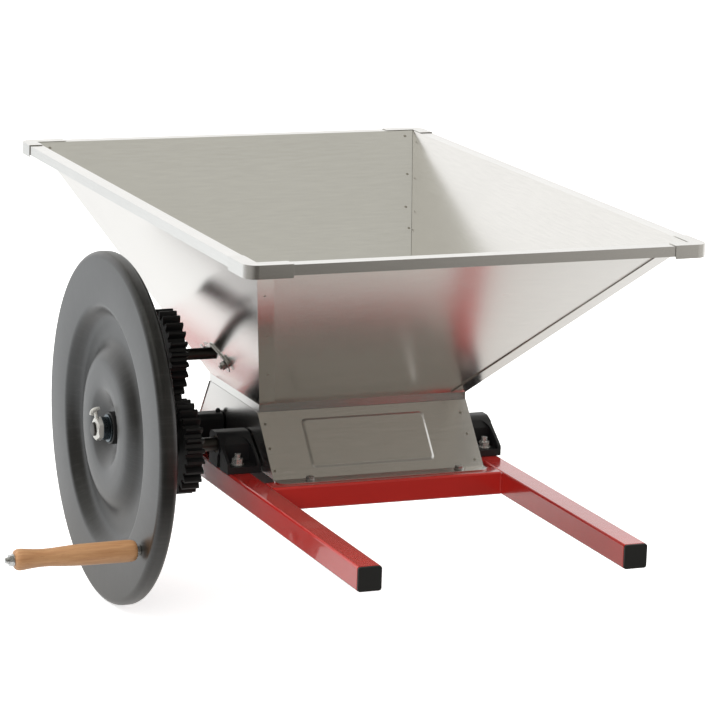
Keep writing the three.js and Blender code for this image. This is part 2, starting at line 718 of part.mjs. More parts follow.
function casingEnd(end) {
  const outer = casingOut[end];
  const inner = offset(outer, -CASING_SHEET);
  const sides = [atX(-casingHalfX), atX(casingHalfX)];
  const plate = between([outer, inner], sides, [atZ(casingBottomZ), atZ(casingTopZ)]);
  const bend = end < 0 ? BEND_FRONT_Y : BEND_REAR_Y;
  const reach = end < 0 ? FLANGE_FRONT : FLANGE_REAR;
  const far = bend + end * reach;
  const near = bend - end * 1.2;
  const outline = roundedOutline([
    [-casingHalfX, near, 0], [casingHalfX, near, 0],
    [casingHalfX, far, FLANGE_CORNER_R], [-casingHalfX, far, FLANGE_CORNER_R],
  ], 5);
  const flange = prismZ(outline, casingBottomZ, casingBottomZ + CASING_SHEET);
  const neckHalf = neckOutX - CASING_SHEET - GAP;
  const neckA = end * neckOutY;
  const neckB = end * (neckOutY - CASING_SHEET);
  const neck = box(-neckHalf, neckHalf, Math.min(neckA, neckB), Math.max(neckA, neckB), casingTopZ - 2.2, NECK_TOP_Z);
  const stepA = end * (neckOutY - CASING_SHEET);
  const stepB = end * (stripOutY - 0.3);
  const step = box(-neckHalf, neckHalf, Math.min(stepA, stepB), Math.max(stepA, stepB), casingTopZ - 2.2, casingTopZ);
  const holes = flangeBoltX.map((x) => rodZ(FLANGE_BOLT_R + 0.4, casingBottomZ - 5, casingBottomZ + 5,
    x, flangeBoltFrontY, 16));
  if (end > 0) {
    return join([plate, flange, neck, step]);
  }
  const bead = embossBead();
  return cut(join([plate, bead.ridge, flange, neck, step]), [...holes, bead.groove]);
}

put('casing_front_plate', casingEnd(-1), 'steel', [0, BEND_FRONT_Y, railTop]);
put('casing_rear_plate', casingEnd(1), 'steel', [0, BEND_REAR_Y, railTop]);

function casingSide(side) {
  const inX = side * sidePlateIn;
  const outX = side * (sidePlateIn + CASING_SHEET);
  const front = offset(casingOut[-1], -CASING_SHEET - GAP);
  const rear = offset(casingOut[1], -CASING_SHEET - GAP);
  const plate = between([front, rear], [atX(inX), atX(outX)], [atZ(casingBottomZ + CASING_SHEET), atZ(casingTopZ)]);
  const pieces = [plate];
  for (const edge of [front, rear]) {
    const tab = side * (sidePlateIn + CASING_SHEET - CASING_TAB);
    pieces.push(between([edge, offset(edge, -CASING_SHEET)], [atX(outX), atX(tab)],
      [atZ(casingBottomZ + 4), atZ(casingTopZ - 4)]));
  }
  const neckA = side * neckOutX;
  const neckB = side * (neckOutX - CASING_SHEET);
  const neckEnd = neckOutY - CASING_SHEET - GAP;
  pieces.push(box(Math.min(neckA, neckB), Math.max(neckA, neckB), -neckEnd, neckEnd, casingTopZ - 2.2, NECK_TOP_Z));
  pieces.push(box(Math.min(neckB, outX), Math.max(neckB, outX), -neckEnd, neckEnd, casingTopZ - 2.2, casingTopZ));
  const x0 = Math.min(side * rotorHalfX, side * railX);
  const x1 = Math.max(side * rotorHalfX, side * railX);
  const holes = [frontRollerY, rearRollerY].map((y) => rodX(BUSH_OUTER_R + 1, x0, x1, y, rollerZ));
  return cut(join(pieces), holes);
}

put('casing_left_plate', casingSide(-1), 'steel', [-sidePlateIn, 0, rollerZ]);
put('casing_right_plate', casingSide(1), 'steel', [sidePlateIn, 0, rollerZ]);

// Flanged hexagon bolts hold the casing's front flange
flangeBoltX.forEach((x, i) => {
  const seat = casingBottomZ + CASING_SHEET + GAP;
  const bolt = join([
    rodZ(FLANGE_BOLT_R, railTop - 8, seat + 1, x, flangeBoltFrontY, 16),
    rodZ(FLANGE_BOLT_AF * 0.62, seat, seat + 1, x, flangeBoltFrontY, 20),
    prismZ(hexagon(FLANGE_BOLT_AF, x, flangeBoltFrontY), seat + 0.5, seat + FLANGE_BOLT_HEAD),
  ]);
  put(`casing_bolt_${['left', 'right'][i]}`, bolt, 'zinc', [x, flangeBoltFrontY, railTop]);
});

// bearing housings

function inOrder(end, outline) {
  return end < 0 ? outline : [...outline].reverse();
}

// One bearing block per roller, its foot turned away from the other block
function bearingBlock(side, end, rollerY, x0, x1) {
  const foot = rollerY + end * HOUSING_FOOT_REACH;
  const heel = rollerY - end * HOUSING_HEEL_REACH;
  const body = prismX(roundedOutline(inOrder(end, [
    [foot, casingBottomZ, 0],
    [heel, casingBottomZ, 0],
    [heel, housingTopZ, HOUSING_HEEL_R],
    [rollerY + end * HOUSING_TOP_REACH, housingTopZ, HOUSING_TOP_R],
    [foot, housingFootZ, 3],
  ]), 5), x0, x1);
  const pocketRear = rollerY + end * POCKET_TO_SHAFT;
  const pocketTip = pocketRear - end * 6;
  const pocketDepth = prismX(inOrder(end, [
    [foot + end * 5, pocketFloorZ], [pocketRear, pocketFloorZ], [pocketRear, housingTopZ - 13.5],
    [pocketTip, housingTopZ - 4], [pocketTip, housingTopZ + 10], [foot + end * 5, housingTopZ + 10],
  ]), x0, x1);
  const arch = prismY(roundedOutline([
    [x0 + HOUSING_BORDER, pocketFloorZ, 0], [x1 - HOUSING_BORDER, pocketFloorZ, 0],
    [x1 - HOUSING_BORDER, housingTopZ - 4.5, POCKET_ARCH_R], [x0 + HOUSING_BORDER, housingTopZ - 4.5, POCKET_ARCH_R],
  ], 5), Math.min(foot + end * 6, heel), Math.max(foot + end * 6, heel));
  const slotX = side * housingOutX;
  const slot = prismX(inOrder(end, [
    [rollerY + end * 18.6, casingBottomZ - 1], [rollerY + end * 7.6, casingBottomZ - 1],
    [rollerY + end * 7.6, rollerZ - 13.5], [rollerY + end * 12.6, rollerZ - 9],
    [rollerY + end * 13.6, rollerZ - 2], [rollerY + end * 18.6, rollerZ - 2],
  ]), Math.min(slotX, slotX - side * 2.2), Math.max(slotX, slotX - side * 2.2));
  return cut(body, [pocketDepth.intersect(arch), slot]);
}

function housing(side) {
  const x0 = Math.min(side * housingInX, side * housingOutX);
  const x1 = Math.max(side * housingInX, side * housingOutX);
  const tieX = side * (housingInX + HOUSING_TIE_WIDTH);
  const tie = box(Math.min(side * housingInX, tieX), Math.max(side * housingInX, tieX),
    frontRollerY + HOUSING_HEEL_REACH - 1, rearRollerY - HOUSING_HEEL_REACH + 1,
    casingBottomZ, casingBottomZ + HOUSING_TIE_THICK);
  return cut(join([bearingBlock(side, -1, frontRollerY, x0, x1), bearingBlock(side, 1, rearRollerY, x0, x1), tie]), [
    rodX(BUSH_OUTER_R + GAP, x0 - 1, x1 + 1, frontRollerY, rollerZ),
    rodX(BUSH_OUTER_R + GAP, x0 - 1, x1 + 1, rearRollerY, rollerZ),
    ...housingBoltY.map((y) => rodZ(boltHoleR, casingBottomZ - 5, pocketFloorZ + 1, side * railX, y)),
    rodZ(2.3, housingTopZ - 6, housingTopZ + 1, side * housingScrewX, housingScrewY, 16),
  ]);
}

put('bearing_housing_left', housing(-1), 'black', [-railX, 0, railTop]);
put('bearing_housing_right', housing(1), 'black', [railX, 0, railTop]);

// Studs with flanged nuts stand in the pockets, a small domed screw closes the top
for (const [sideName, side] of [['left', -1], ['right', 1]]) {
  const x = side * railX;
  housingBoltY.forEach((y, i) => {
    const seat = pocketFloorZ + GAP;
    const stud = join([
      rodZ(HOUSING_BOLT_R, railTop - 9, pocketFloorZ + HOUSING_STUD_HEIGHT, x, y, 20),
      rodZ(HOUSING_WASHER_R, seat, seat + HOUSING_WASHER_THICK, x, y),
      prismZ(hexagon(HOUSING_NUT_AF, x, y), seat + 1, seat + HOUSING_WASHER_THICK + HOUSING_NUT_THICK),
    ]);
    put(`housing_stud_${['front', 'rear'][i]}_${sideName}`, stud, 'zinc', [x, y, railTop]);
  });
  const screwX = side * housingScrewX;
  const seat = housingTopZ + GAP;
  const screw = join([
    rodZ(1.9, housingTopZ - 5.5, seat + 1, screwX, housingScrewY, 12),
    rodZ(3.2, seat, seat + 1.8, screwX, housingScrewY, 16),
    domeZ(3.2, 3, seat + 1.8, screwX, housingScrewY),
  ]);
  put(`housing_screw_${sideName}`, screw, 'dark_steel', [screwX, housingScrewY, housingTopZ]);
}

function bush(side, y) {
  const x0 = Math.min(side * (housingInX + 0.5), side * (housingOutX - 0.5));
  const x1 = Math.max(side * (housingInX + 0.5), side * (housingOutX - 0.5));
  return rodX(BUSH_OUTER_R, x0, x1, y, rollerZ)
    .subtract(rodX(ROLLER_SHAFT_R + SHAFT_CLEARANCE, x0 - 1, x1 + 1, y, rollerZ));
}

for (const [sideName, side] of [['left', -1], ['right', 1]]) {
  for (const [rowName, y] of [['front', frontRollerY], ['rear', rearRollerY]]) {
    put(`bush_${rowName}_${sideName}`, bush(side, y), 'bronze', [side * railX, y, rollerZ]);
  }
}

// rotor bearings on the side walls

// Thin plate outside the wall, its bearing tube reaches inward through it
function rotorBearing(side) {
  const spots = studSpots(side);
  const points = [];
  for (const z of [GAP, GAP + FLANGE_PLATE]) {
    for (const centre of [0, -WING_STUD_DROP]) {
      for (const [x, y] of circle(FLANGE_BOSS_R + 5, 24, centre, 0)) {
        points.push([x, y, z]);
      }
    }
    for (const [sx, sy] of spots) {
      for (const [x, y] of circle(6, 12, sx, sy)) {
        points.push([x, y, z]);
      }
    }
  }
  const plate = placed(side, hull(points));
  const holes = spots.map(([x, y]) => placed(side, rodZ(WING_STUD_R + 0.4, -1, 9, x, y, 16)));
  const behindPlate = placed(side, prismZ(circle(80, 12), -90, GAP + FLANGE_PLATE / 2));
  const x0 = Math.min(side * (wallAtRotorX - FLANGE_BOSS_DEPTH), side * RIM_X);
  const x1 = Math.max(side * (wallAtRotorX - FLANGE_BOSS_DEPTH), side * RIM_X);
  const boss = rodX(FLANGE_BOSS_R, x0, x1, ROTOR_Y, rotorZ, 28).intersect(behindPlate);
  const bore = rodX(ROTOR_SHAFT_R + SHAFT_CLEARANCE, Math.min(side * rotorHalfX, side * RIM_X),
    Math.max(side * rotorHalfX, side * RIM_X), ROTOR_Y, rotorZ);
  return cut(plate.add(boss), [...holes, bore]);
}

const wallOrigin = (side) => new THREE.Vector3().setFromMatrixPosition(wallFrame(side)).toArray();
put('rotor_bearing_left', rotorBearing(-1), 'steel', wallOrigin(-1));
put('rotor_bearing_right', rotorBearing(1), 'steel', wallOrigin(1));

// Screws reach through plate and wall; outside they carry a wide washer and a nut
for (const [sideName, side] of [['left', -1], ['right', 1]]) {
  studSpots(side).forEach(([x, y], i) => {
    const inner = -SHEET - GAP;
    const seat = GAP * 2 + FLANGE_PLATE;
    const screw = join([
      prismZ(circle(6.5, 20, x, y), inner - 2.4, inner),
      rodZ(WING_STUD_R, inner - 1, seat + 9, x, y, 16),
      rodZ(WING_WASHER_R, seat, seat + 1.2, x, y, 32),
      prismZ(hexagon(WING_NUT_AF, x, y), seat + 1, seat + 6.4),
    ]);
    put(`wing_screw_${['front', 'rear'][i]}_${sideName}`, placed(side, screw), 'zinc', wallOrigin(side));
  });
}

// gears

const baseR = gearPitchR * Math.cos(THREE.MathUtils.degToRad(PRESSURE_ANGLE));
const rootR = gearPitchR - 1.22 * GEAR_MODULE;
const involute = (r) => Math.sqrt((r / baseR) ** 2 - 1) - Math.acos(baseR / r);
const halfAtPitch = (Math.PI * GEAR_MODULE / 2 - GEAR_BACKLASH) / 2 / gearPitchR;

function toothHalf(r) {
  return halfAtPitch + involute(gearPitchR) - involute(Math.max(r, baseR));
}

// Gear blank in the Y-Z plane with a tooth centred at the given angle
function gear(y, z, boreR, phase) {
  const radii = [rootR, baseR + 0.6, gearPitchR, GEAR_TIP_R];
  const outline = [];
  for (let tooth = 0; tooth < GEAR_TEETH; tooth += 1) {
    const centre = phase + 2 * Math.PI * tooth / GEAR_TEETH;
    for (const r of radii) {
      const angle = centre - toothHalf(r);
      outline.push([y + r * Math.cos(angle), z + r * Math.sin(angle)]);
    }
    for (const r of [...radii].reverse()) {
      const angle = centre + toothHalf(r);
      outline.push([y + r * Math.cos(angle), z + r * Math.sin(angle)]);
    }
  }
  return prismX(outline, gearLeftX, gearRightX)
    .subtract(rodX(boreR, gearLeftX - 1, gearRightX + 1, y, z));
}

// A tooth of the driver points along each centre line; its partner shows a gap
const toothPitch = 2 * Math.PI / GEAR_TEETH;
const towardRotor = Math.atan2(rotorZ - rollerZ, ROTOR_Y - rearRollerY);
const rearPhase = 0;
const frontPhase = Math.PI - (rearPhase - Math.PI) + toothPitch / 2;
const rotorPhase = 2 * towardRotor + Math.PI - rearPhase + toothPitch / 2;

put('gear_rear', gear(rearRollerY, rollerZ, ROLLER_SHAFT_R + GAP, rearPhase), 'black',
  [gearRightX, rearRollerY, rollerZ]);
put('gear_front', gear(frontRollerY, rollerZ, ROLLER_SHAFT_R + GAP, frontPhase), 'black',
  [gearRightX, frontRollerY, rollerZ]);
put('gear_rotor', gear(ROTOR_Y, rotorZ, ROTOR_SHAFT_R + GAP, rotorPhase), 'black',
  [gearRightX, ROTOR_Y, rotorZ]);

// shafts, rollers and collars

const hubCollarIn = wheelFaceX + WHEEL_DISH_DEPTH - GAP;
const hubCollarOut = hubCollarIn - HUB_COLLAR_THICK;
const hubWasherIn = hubCollarOut - GAP;
const hubWasherOut = hubWasherIn - HUB_WASHER_THICK;
const hubSleeveIn = hubWasherOut - GAP;
const hubSleeveOut = hubSleeveIn - HUB_SLEEVE_THICK;
const hubNutIn = hubSleeveOut - GAP;
const hubNutOut = hubNutIn - HUB_NUT_THICK;
const shaftEndX = hubNutOut - SHAFT_STANDOUT;

// Turned bar; an optional head at the right end keeps it from sliding left
function shaft(radius, x0, x1, y, z, head = null) {
  const chamfer = 1.2;
  const profile = [[0, x0], [radius - chamfer, x0], [radius, x0 + chamfer]];
  if (head) {
    profile.push([radius, head.from], [head.radius, head.from], [head.radius, x1 - chamfer]);
    profile.push([head.radius - chamfer, x1]);
  } else {
    profile.push([radius, x1 - chamfer], [radius - chamfer, x1]);
  }
  profile.push([0, x1]);
  return turnedX(profile, y, z, 24);
}

const pinX = (hubNutIn + hubNutOut) / 2;
const pinHole = prismZ(circle(PIN_R + GAP, 16, pinX, rearRollerY), rollerZ - 2 * HUB_NUT_R,
  rollerZ + 2 * HUB_NUT_R);
const rollerHead = { from: housingOutX + 2 * GAP, radius: SHAFT_HEAD_R };
const rotorHead = { from: rotorHeadX + 2 * GAP, radius: ROTOR_HEAD_R };
const shaftLeftX = gearLeftX - SHAFT_STUB;
put('shaft_rear', shaft(ROLLER_SHAFT_R, shaftEndX, rollerHead.from + SHAFT_HEAD, rearRollerY, rollerZ, rollerHead)
  .subtract(pinHole), 'zinc', [0, rearRollerY, rollerZ]);
put('shaft_front', shaft(ROLLER_SHAFT_R, shaftLeftX, rollerHead.from + SHAFT_HEAD, frontRollerY, rollerZ, rollerHead),
  'dark_steel', [0, frontRollerY, rollerZ]);
put('shaft_rotor', shaft(ROTOR_SHAFT_R, shaftLeftX, rotorHead.from + ROTOR_HEAD, ROTOR_Y, rotorZ, rotorHead),
  'dark_steel', [0, ROTOR_Y, rotorZ]);

function ribbedRoller(y, phase) {
  const outline = [];
  const pitch = 2 * Math.PI / ROLLER_RIBS;
  for (let rib = 0; rib < ROLLER_RIBS; rib += 1) {
    const centre = phase + rib * pitch;
    const spots = [[-0.26, ROLLER_ROOT_R], [-0.14, ROLLER_TIP_R], [0.14, ROLLER_TIP_R], [0.26, ROLLER_ROOT_R]];
    for (const [share, r] of spots) {
      outline.push([y + r * Math.cos(centre + share * pitch), rollerZ + r * Math.sin(centre + share * pitch)]);
    }
  }
  return prismX(outline, -rollerHalfX, rollerHalfX)
    .subtract(rodX(ROLLER_SHAFT_R + GAP, -rollerHalfX - 1, rollerHalfX + 1, y, rollerZ));
}

put('roller_rear', ribbedRoller(rearRollerY, 0), 'alloy', [0, rearRollerY, rollerZ]);
put('roller_front', ribbedRoller(frontRollerY, Math.PI / ROLLER_RIBS), 'alloy', [0, frontRollerY, rollerZ]);

// Rotor drum with toothed blades welded along it
const bladeAngles = Array.from({ length: BLADE_COUNT }, (_, i) => 0.2 + 2 * Math.PI * i / BLADE_COUNT);

function spunAboutRotor(manifold, angle) {
  const spin = new THREE.Matrix4().makeTranslation(0, ROTOR_Y, rotorZ)
    .multiply(new THREE.Matrix4().makeRotationX(angle));
  return manifold.transform(spin.elements);
}

const bladeHalfX = rotorHalfX - 4;
const drum = rodX(ROTOR_DRUM_R, -rotorHalfX, rotorHalfX, ROTOR_Y, rotorZ, 36)
  .subtract(rodX(ROTOR_SHAFT_R + GAP, -rotorHalfX - 1, rotorHalfX + 1, ROTOR_Y, rotorZ));

function blade() {
  const outline = [[-bladeHalfX, BLADE_ROOT_R], [bladeHalfX, BLADE_ROOT_R]];
  const count = Math.floor(2 * bladeHalfX / BLADE_TOOTH_PITCH);
  const pitch = 2 * bladeHalfX / count;
  for (let i = count; i > 0; i -= 1) {
    const right = -bladeHalfX + i * pitch;
    outline.push([right, BLADE_TIP_R - BLADE_TOOTH_DEPTH]);
    outline.push([right - pitch * 0.3, BLADE_TIP_R]);
    outline.push([right - pitch * 0.7, BLADE_TIP_R]);
  }
  outline.push([-bladeHalfX, BLADE_TIP_R - BLADE_TOOTH_DEPTH]);
  return prismZ(outline, -BLADE_THICK / 2, BLADE_THICK / 2);
}

const blades = bladeAngles.map((angle) => spunAboutRotor(blade(), angle));
put('scratter_drum', join([drum, ...blades]), 'steel', [0, ROTOR_Y, rotorZ]);

// flywheel

function wheelProfile() {
  const face = wheelFaceX;
  const back = wheelFaceX + WHEEL_THICK;
  const profile = [[ROLLER_SHAFT_R + GAP, face + WHEEL_DISH_DEPTH]];
  profile.push([WHEEL_DISH_FLOOR_R, face + WHEEL_DISH_DEPTH]);
  profile.push([WHEEL_DISH_R - 5, face + 4]);
  profile.push([WHEEL_DISH_R, face + 2]);
  profile.push([WHEEL_DISH_R + 5, face + 1.1]);
  profile.push([(WHEEL_DISH_R + WHEEL_GROOVE_IN_R) / 2, face + 0.7]);
  profile.push([WHEEL_GROOVE_IN_R - 6, face + 1.1]);
  profile.push([WHEEL_GROOVE_IN_R, face + 1.9]);
  const inner = WHEEL_GROOVE_IN_R;
  const outer = WHEEL_GROOVE_OUT_R;
  const width = outer - inner;
  const shares = [[0.055, 3], [0.115, 5.6], [0.18, 9], [0.24, 12.6], [0.3, 15.2], [0.375, 17], [0.47, 17.8], [0.58, 18],
    [0.68, 17.6], [0.76, 15.2], [0.825, 10.8], [0.88, 5.6], [0.925, 2], [0.965, 0.5]];
  for (const [share, depth] of shares) {
    profile.push([inner + width * share, face + depth * WHEEL_GROOVE_DEPTH / 18]);
  }
  profile.push([outer, face]);
  const edge = WHEEL_EDGE_R;
  for (let i = 0; i <= 3; i += 1) {
    const angle = Math.PI / 2 * i / 3;
    profile.push([WHEEL_R - edge + edge * Math.sin(angle), face + edge - edge * Math.cos(angle)]);
  }
  for (let i = 0; i <= 3; i += 1) {
    const angle = Math.PI / 2 * i / 3;
    profile.push([WHEEL_R - edge + edge * Math.cos(angle), back - edge + edge * Math.sin(angle)]);
  }
  profile.push([WHEEL_HUB_R + 4, back]);
  profile.push([WHEEL_HUB_R, back + 4]);
  profile.push([WHEEL_HUB_R, gearLeftX - 0.6]);
  profile.push([ROLLER_SHAFT_R + GAP, gearLeftX - 0.6]);
  profile.push(profile[0]);
  return profile;
}

const crankTurn = THREE.MathUtils.degToRad(CRANK_ANGLE);
const crankY = rearRollerY + (WHEEL_R - CRANK_INSET) * Math.cos(crankTurn);
const crankZ = rollerZ + (WHEEL_R - CRANK_INSET) * Math.sin(crankTurn);
const wheelBack = wheelFaceX + WHEEL_THICK;
const wheelHole = rodX(CRANK_STUD_R + GAP, wheelFaceX - 5, wheelBack + 5, crankY, crankZ, 20);
put('flywheel', turnedX(wheelProfile(), rearRollerY, rollerZ, 64).subtract(wheelHole), 'wheel',
  [wheelFaceX, rearRollerY, rollerZ]);

function hubRing(radius, outerX, innerX) {
  return turnedX([[ROLLER_SHAFT_R + GAP, outerX], [radius - 0.8, outerX], [radius, outerX + 0.8],
    [radius, innerX], [ROLLER_SHAFT_R + GAP, innerX], [ROLLER_SHAFT_R + GAP, outerX]],
  rearRollerY, rollerZ, 28);
}

const hubAt = [wheelFaceX, rearRollerY, rollerZ];
put('hub_collar', hubRing(HUB_COLLAR_R, hubCollarOut, hubCollarIn), 'black', hubAt);
put('hub_washer', hubRing(HUB_WASHER_R, hubWasherOut, hubWasherIn), 'zinc', hubAt);
put('hub_sleeve', hubRing(HUB_SLEEVE_R, hubSleeveOut, hubSleeveIn), 'dark_steel', hubAt);

const nutBody = prismX(circle(HUB_NUT_R * 1.04, 6, rearRollerY, rollerZ, Math.PI / 2), hubNutOut, hubNutIn);
const nutRound = turnedX([[0, hubNutOut], [HUB_NUT_R - 3.4, hubNutOut], [HUB_NUT_R, hubNutOut + 2.4],
  [HUB_NUT_R, hubNutIn], [0, hubNutIn]], rearRollerY, rollerZ, 24);
const nutBore = rodX(ROLLER_SHAFT_R + GAP, hubNutOut - 1, hubNutIn + 1, rearRollerY, rollerZ);
put('hub_nut', cut(nutBody.intersect(nutRound), [nutBore, pinHole]), 'zinc', hubAt);

// Pin through nut and shaft with its head bent over
function hubPin() {
  const z0 = rollerZ - HUB_NUT_R + 1.5;
  const z1 = rollerZ + PIN_HEIGHT - PIN_R;
  const stem = rodZ(PIN_R, z0, z1, pinX, rearRollerY, 14);
  const head = rodX(PIN_R, pinX - PIN_HEAD * 0.45, pinX + PIN_HEAD * 0.55, rearRollerY, z1 - 0.6, 14);
  const tip = [];
  for (const [y, z] of circle(PIN_R, 14, rearRollerY, z1 - 0.6)) {
    tip.push([pinX - PIN_HEAD * 0.45 + 0.5, y, z]);
    tip.push([pinX - PIN_HEAD * 0.45 - 1.4, y, z - 3.4]);
  }
  return join([stem, head, hull(tip)]);
}
put('hub_pin', hubPin(), 'zinc', [pinX, rearRollerY, rollerZ]);

// crank handle

const studNutIn = wheelFaceX - GAP;
const studNutOut = studNutIn - CRANK_NUT_THICK;
const gripIn = studNutOut - GAP * 1.5;
const gripOut = gripIn - GRIP_LENGTH;
const gripWasherIn = gripOut - GAP * 1.5;
const gripWasherOut = gripWasherIn - 1.6;
const gripNutOut = gripWasherOut - CRANK_NUT_THICK;
const studTip = gripNutOut - CRANK_TIP;
const crankAt = [wheelFaceX, crankY, crankZ];

const studHead = prismX(hexagon(CRANK_NUT_AF, crankY, crankZ), wheelBack + GAP, wheelBack + GAP + 5);
put('crank_stud', shaft(CRANK_STUD_R, studTip, wheelBack + 4, crankY, crankZ).add(studHead), 'zinc', crankAt);

function crankNut(x0, x1) {
  return prismX(hexagon(CRANK_NUT_AF, crankY, crankZ), x0, x1)
    .subtract(rodX(CRANK_STUD_R + GAP, x0 - 1, x1 + 1, crankY, crankZ, 20));
}
put('crank_stud_nut', crankNut(studNutOut, studNutIn), 'zinc', crankAt);
const gripFlange = rodX(8, gripWasherOut, gripWasherIn, crankY, crankZ, 24)
  .subtract(rodX(CRANK_STUD_R + GAP, gripWasherOut - 1, gripWasherIn + 1, crankY, crankZ, 20));
put('grip_nut', crankNut(gripNutOut, gripWasherOut + 0.5).add(gripFlange), 'zinc', crankAt);

const gripR = CRANK_STUD_R + GRIP_BORE_CLEARANCE;
const GRIP_SHAPE = [[0, 9.6], [2.2, 12.2], [7, 13.7], [16, 14], [38, 13.9], [62, 13.7], [80, 13.3], [98, 12.3],
  [112, 11.4], [122, 11.3], [132, 11.8], [144, 13.1], [151, 13.6], [155, 12.9], [157.2, 11.2], [158, 9.4]];
const gripProfile = [[gripR, gripIn]];
for (const [along, radius] of GRIP_SHAPE) {
  gripProfile.push([radius * GRIP_R / 14, gripIn - along * GRIP_LENGTH / 158]);
}
gripProfile.push([gripR, gripOut]);
gripProfile.push([gripR, gripIn]);
put('grip', turnedX(gripProfile, crankY, crankZ, 24), 'wood', [(gripIn + gripOut) / 2, crankY, crankZ]);

export default machine;
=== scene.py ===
import json
import math

import bmesh
import bpy
from mathutils import Matrix, Vector


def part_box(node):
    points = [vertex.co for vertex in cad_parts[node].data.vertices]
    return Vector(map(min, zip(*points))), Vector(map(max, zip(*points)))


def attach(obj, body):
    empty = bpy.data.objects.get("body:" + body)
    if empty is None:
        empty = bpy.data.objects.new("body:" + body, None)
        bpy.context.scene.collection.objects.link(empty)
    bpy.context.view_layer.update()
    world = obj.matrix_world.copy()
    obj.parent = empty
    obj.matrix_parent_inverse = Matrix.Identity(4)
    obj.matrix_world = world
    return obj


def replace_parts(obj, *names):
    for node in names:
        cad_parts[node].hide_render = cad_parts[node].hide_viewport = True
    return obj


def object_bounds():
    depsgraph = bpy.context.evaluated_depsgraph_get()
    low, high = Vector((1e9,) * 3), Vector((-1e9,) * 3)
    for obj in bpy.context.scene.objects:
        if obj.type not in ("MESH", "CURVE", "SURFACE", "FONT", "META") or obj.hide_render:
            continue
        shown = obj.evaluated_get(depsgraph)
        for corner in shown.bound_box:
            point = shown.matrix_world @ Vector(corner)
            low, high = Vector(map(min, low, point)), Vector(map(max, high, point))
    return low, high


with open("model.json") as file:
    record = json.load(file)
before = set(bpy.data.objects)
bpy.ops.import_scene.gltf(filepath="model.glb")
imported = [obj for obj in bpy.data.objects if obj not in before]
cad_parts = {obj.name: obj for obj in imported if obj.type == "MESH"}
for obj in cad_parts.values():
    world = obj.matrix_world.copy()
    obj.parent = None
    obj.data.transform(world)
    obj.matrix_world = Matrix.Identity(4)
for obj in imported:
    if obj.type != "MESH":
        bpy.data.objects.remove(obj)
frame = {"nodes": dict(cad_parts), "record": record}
cad_box = [list(v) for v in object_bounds()]
nodes = frame["nodes"]
record = frame["record"]
body_of = {node: body for body, members in record["behaviour"]["bodies"].items() for node in members}
slot_of = {entry["node"]: entry["material_slot"] for entry in record["subparts"]}

# The frame is in metres, and the sizes in this script are in millimetres
MM = 0.001
PER_METRE = 1000


def centre_of(node):
    """Centre of a CAD node's box, in metres."""
    low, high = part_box(node)
    return [(a + b) / 2 for a, b in zip(low, high)]


def middle(node):
    return [v * PER_METRE for v in centre_of(node)]


def corners(node):
    """Low and high corner of a CAD node's box, in mm."""
    return ([v * PER_METRE for v in corner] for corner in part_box(node))


# Colours

BLACK = (0.0, 0.0, 0.0, 1.0)
WHITE = (1.0, 1.0, 1.0, 1.0)


def grey(value, warmth=0.0):
    return (value * (1 + warmth), value, value * (1 - 1.6 * warmth), 1)


def linear(hex_colour):
    """A colour written as seen, turned into the renderer's linear values."""
    parts = [int(hex_colour[i:i + 2], 16) / 255 for i in (0, 2, 4)]
    return [c / 12.92 if c <= 0.04045 else ((c + 0.055) / 1.055) ** 2.4 for c in parts] + [1.0]


def tint(colour, factor):
    return [min(1.0, c * factor) for c in colour[:3]] + [1.0]


# Materials, all procedural

class Surface:
    """Small helper that wires one procedural material."""

    def __init__(self, name):
        self.material = bpy.data.materials.new(name)
        self.material.use_nodes = True
        self.tree = self.material.node_tree
        self.shader = self.tree.nodes["Principled BSDF"]
        self.coords = self.tree.nodes.new("ShaderNodeTexCoord").outputs["Object"]

    def node(self, kind, **values):
        made = self.tree.nodes.new(kind)
        for key, value in values.items():
            setattr(made, key, value)
        return made

    def link(self, source, target):
        self.tree.links.new(source, target)

    def set(self, **values):
        for key, value in values.items():
            self.shader.inputs[key.replace("_", " ")].default_value = value

    def stretched(self, scale):
        mapping = self.node("ShaderNodeMapping")
        mapping.inputs["Scale"].default_value = scale
        self.link(self.coords, mapping.inputs["Vector"])
        return mapping.outputs["Vector"]

    def noise(self, scale, detail=3.0, rough=0.5, vector=None, distortion=0.0):
        made = self.node("ShaderNodeTexNoise")
        made.inputs["Scale"].default_value = scale
        made.inputs["Detail"].default_value = detail
        made.inputs["Roughness"].default_value = rough
        made.inputs["Distortion"].default_value = distortion
        self.link(vector or self.coords, made.inputs["Vector"])
        return made.outputs["Fac"]

    def ramp(self, value, stops):
        """Black to white through (place, level) stops."""
        made = self.node("ShaderNodeValToRGB")
        elements = made.color_ramp.elements
        while len(elements) < len(stops):
            elements.new(0.5)
        for element, (place, level) in zip(elements, stops):
            element.position = place
            element.color = grey(level)
        self.link(value, made.inputs["Fac"])
        return made.outputs["Color"]

    def scaled(self, value, low, high):
        made = self.node("ShaderNodeMapRange")
        made.inputs["To Min"].default_value = low
        made.inputs["To Max"].default_value = high
        self.link(value, made.inputs["Value"])
        return made.outputs["Result"]

    def mix(self, first, second, factor):
        return blend_colour(self.tree, first, second, factor)

    def bump(self, height, strength, distance, under=None):
        made = self.node("ShaderNodeBump")
        made.inputs["Strength"].default_value = strength
        made.inputs["Distance"].default_value = distance
        self.link(height, made.inputs["Height"])
        if under is not None:
            self.link(under, made.inputs["Normal"])
        return made.outputs["Normal"]

    def colour(self, socket):
        self.link(socket, self.shader.inputs["Base Color"])

    def roughness(self, socket):
        self.link(socket, self.shader.inputs["Roughness"])

    def normal(self, socket):
        self.link(socket, self.shader.inputs["Normal"])


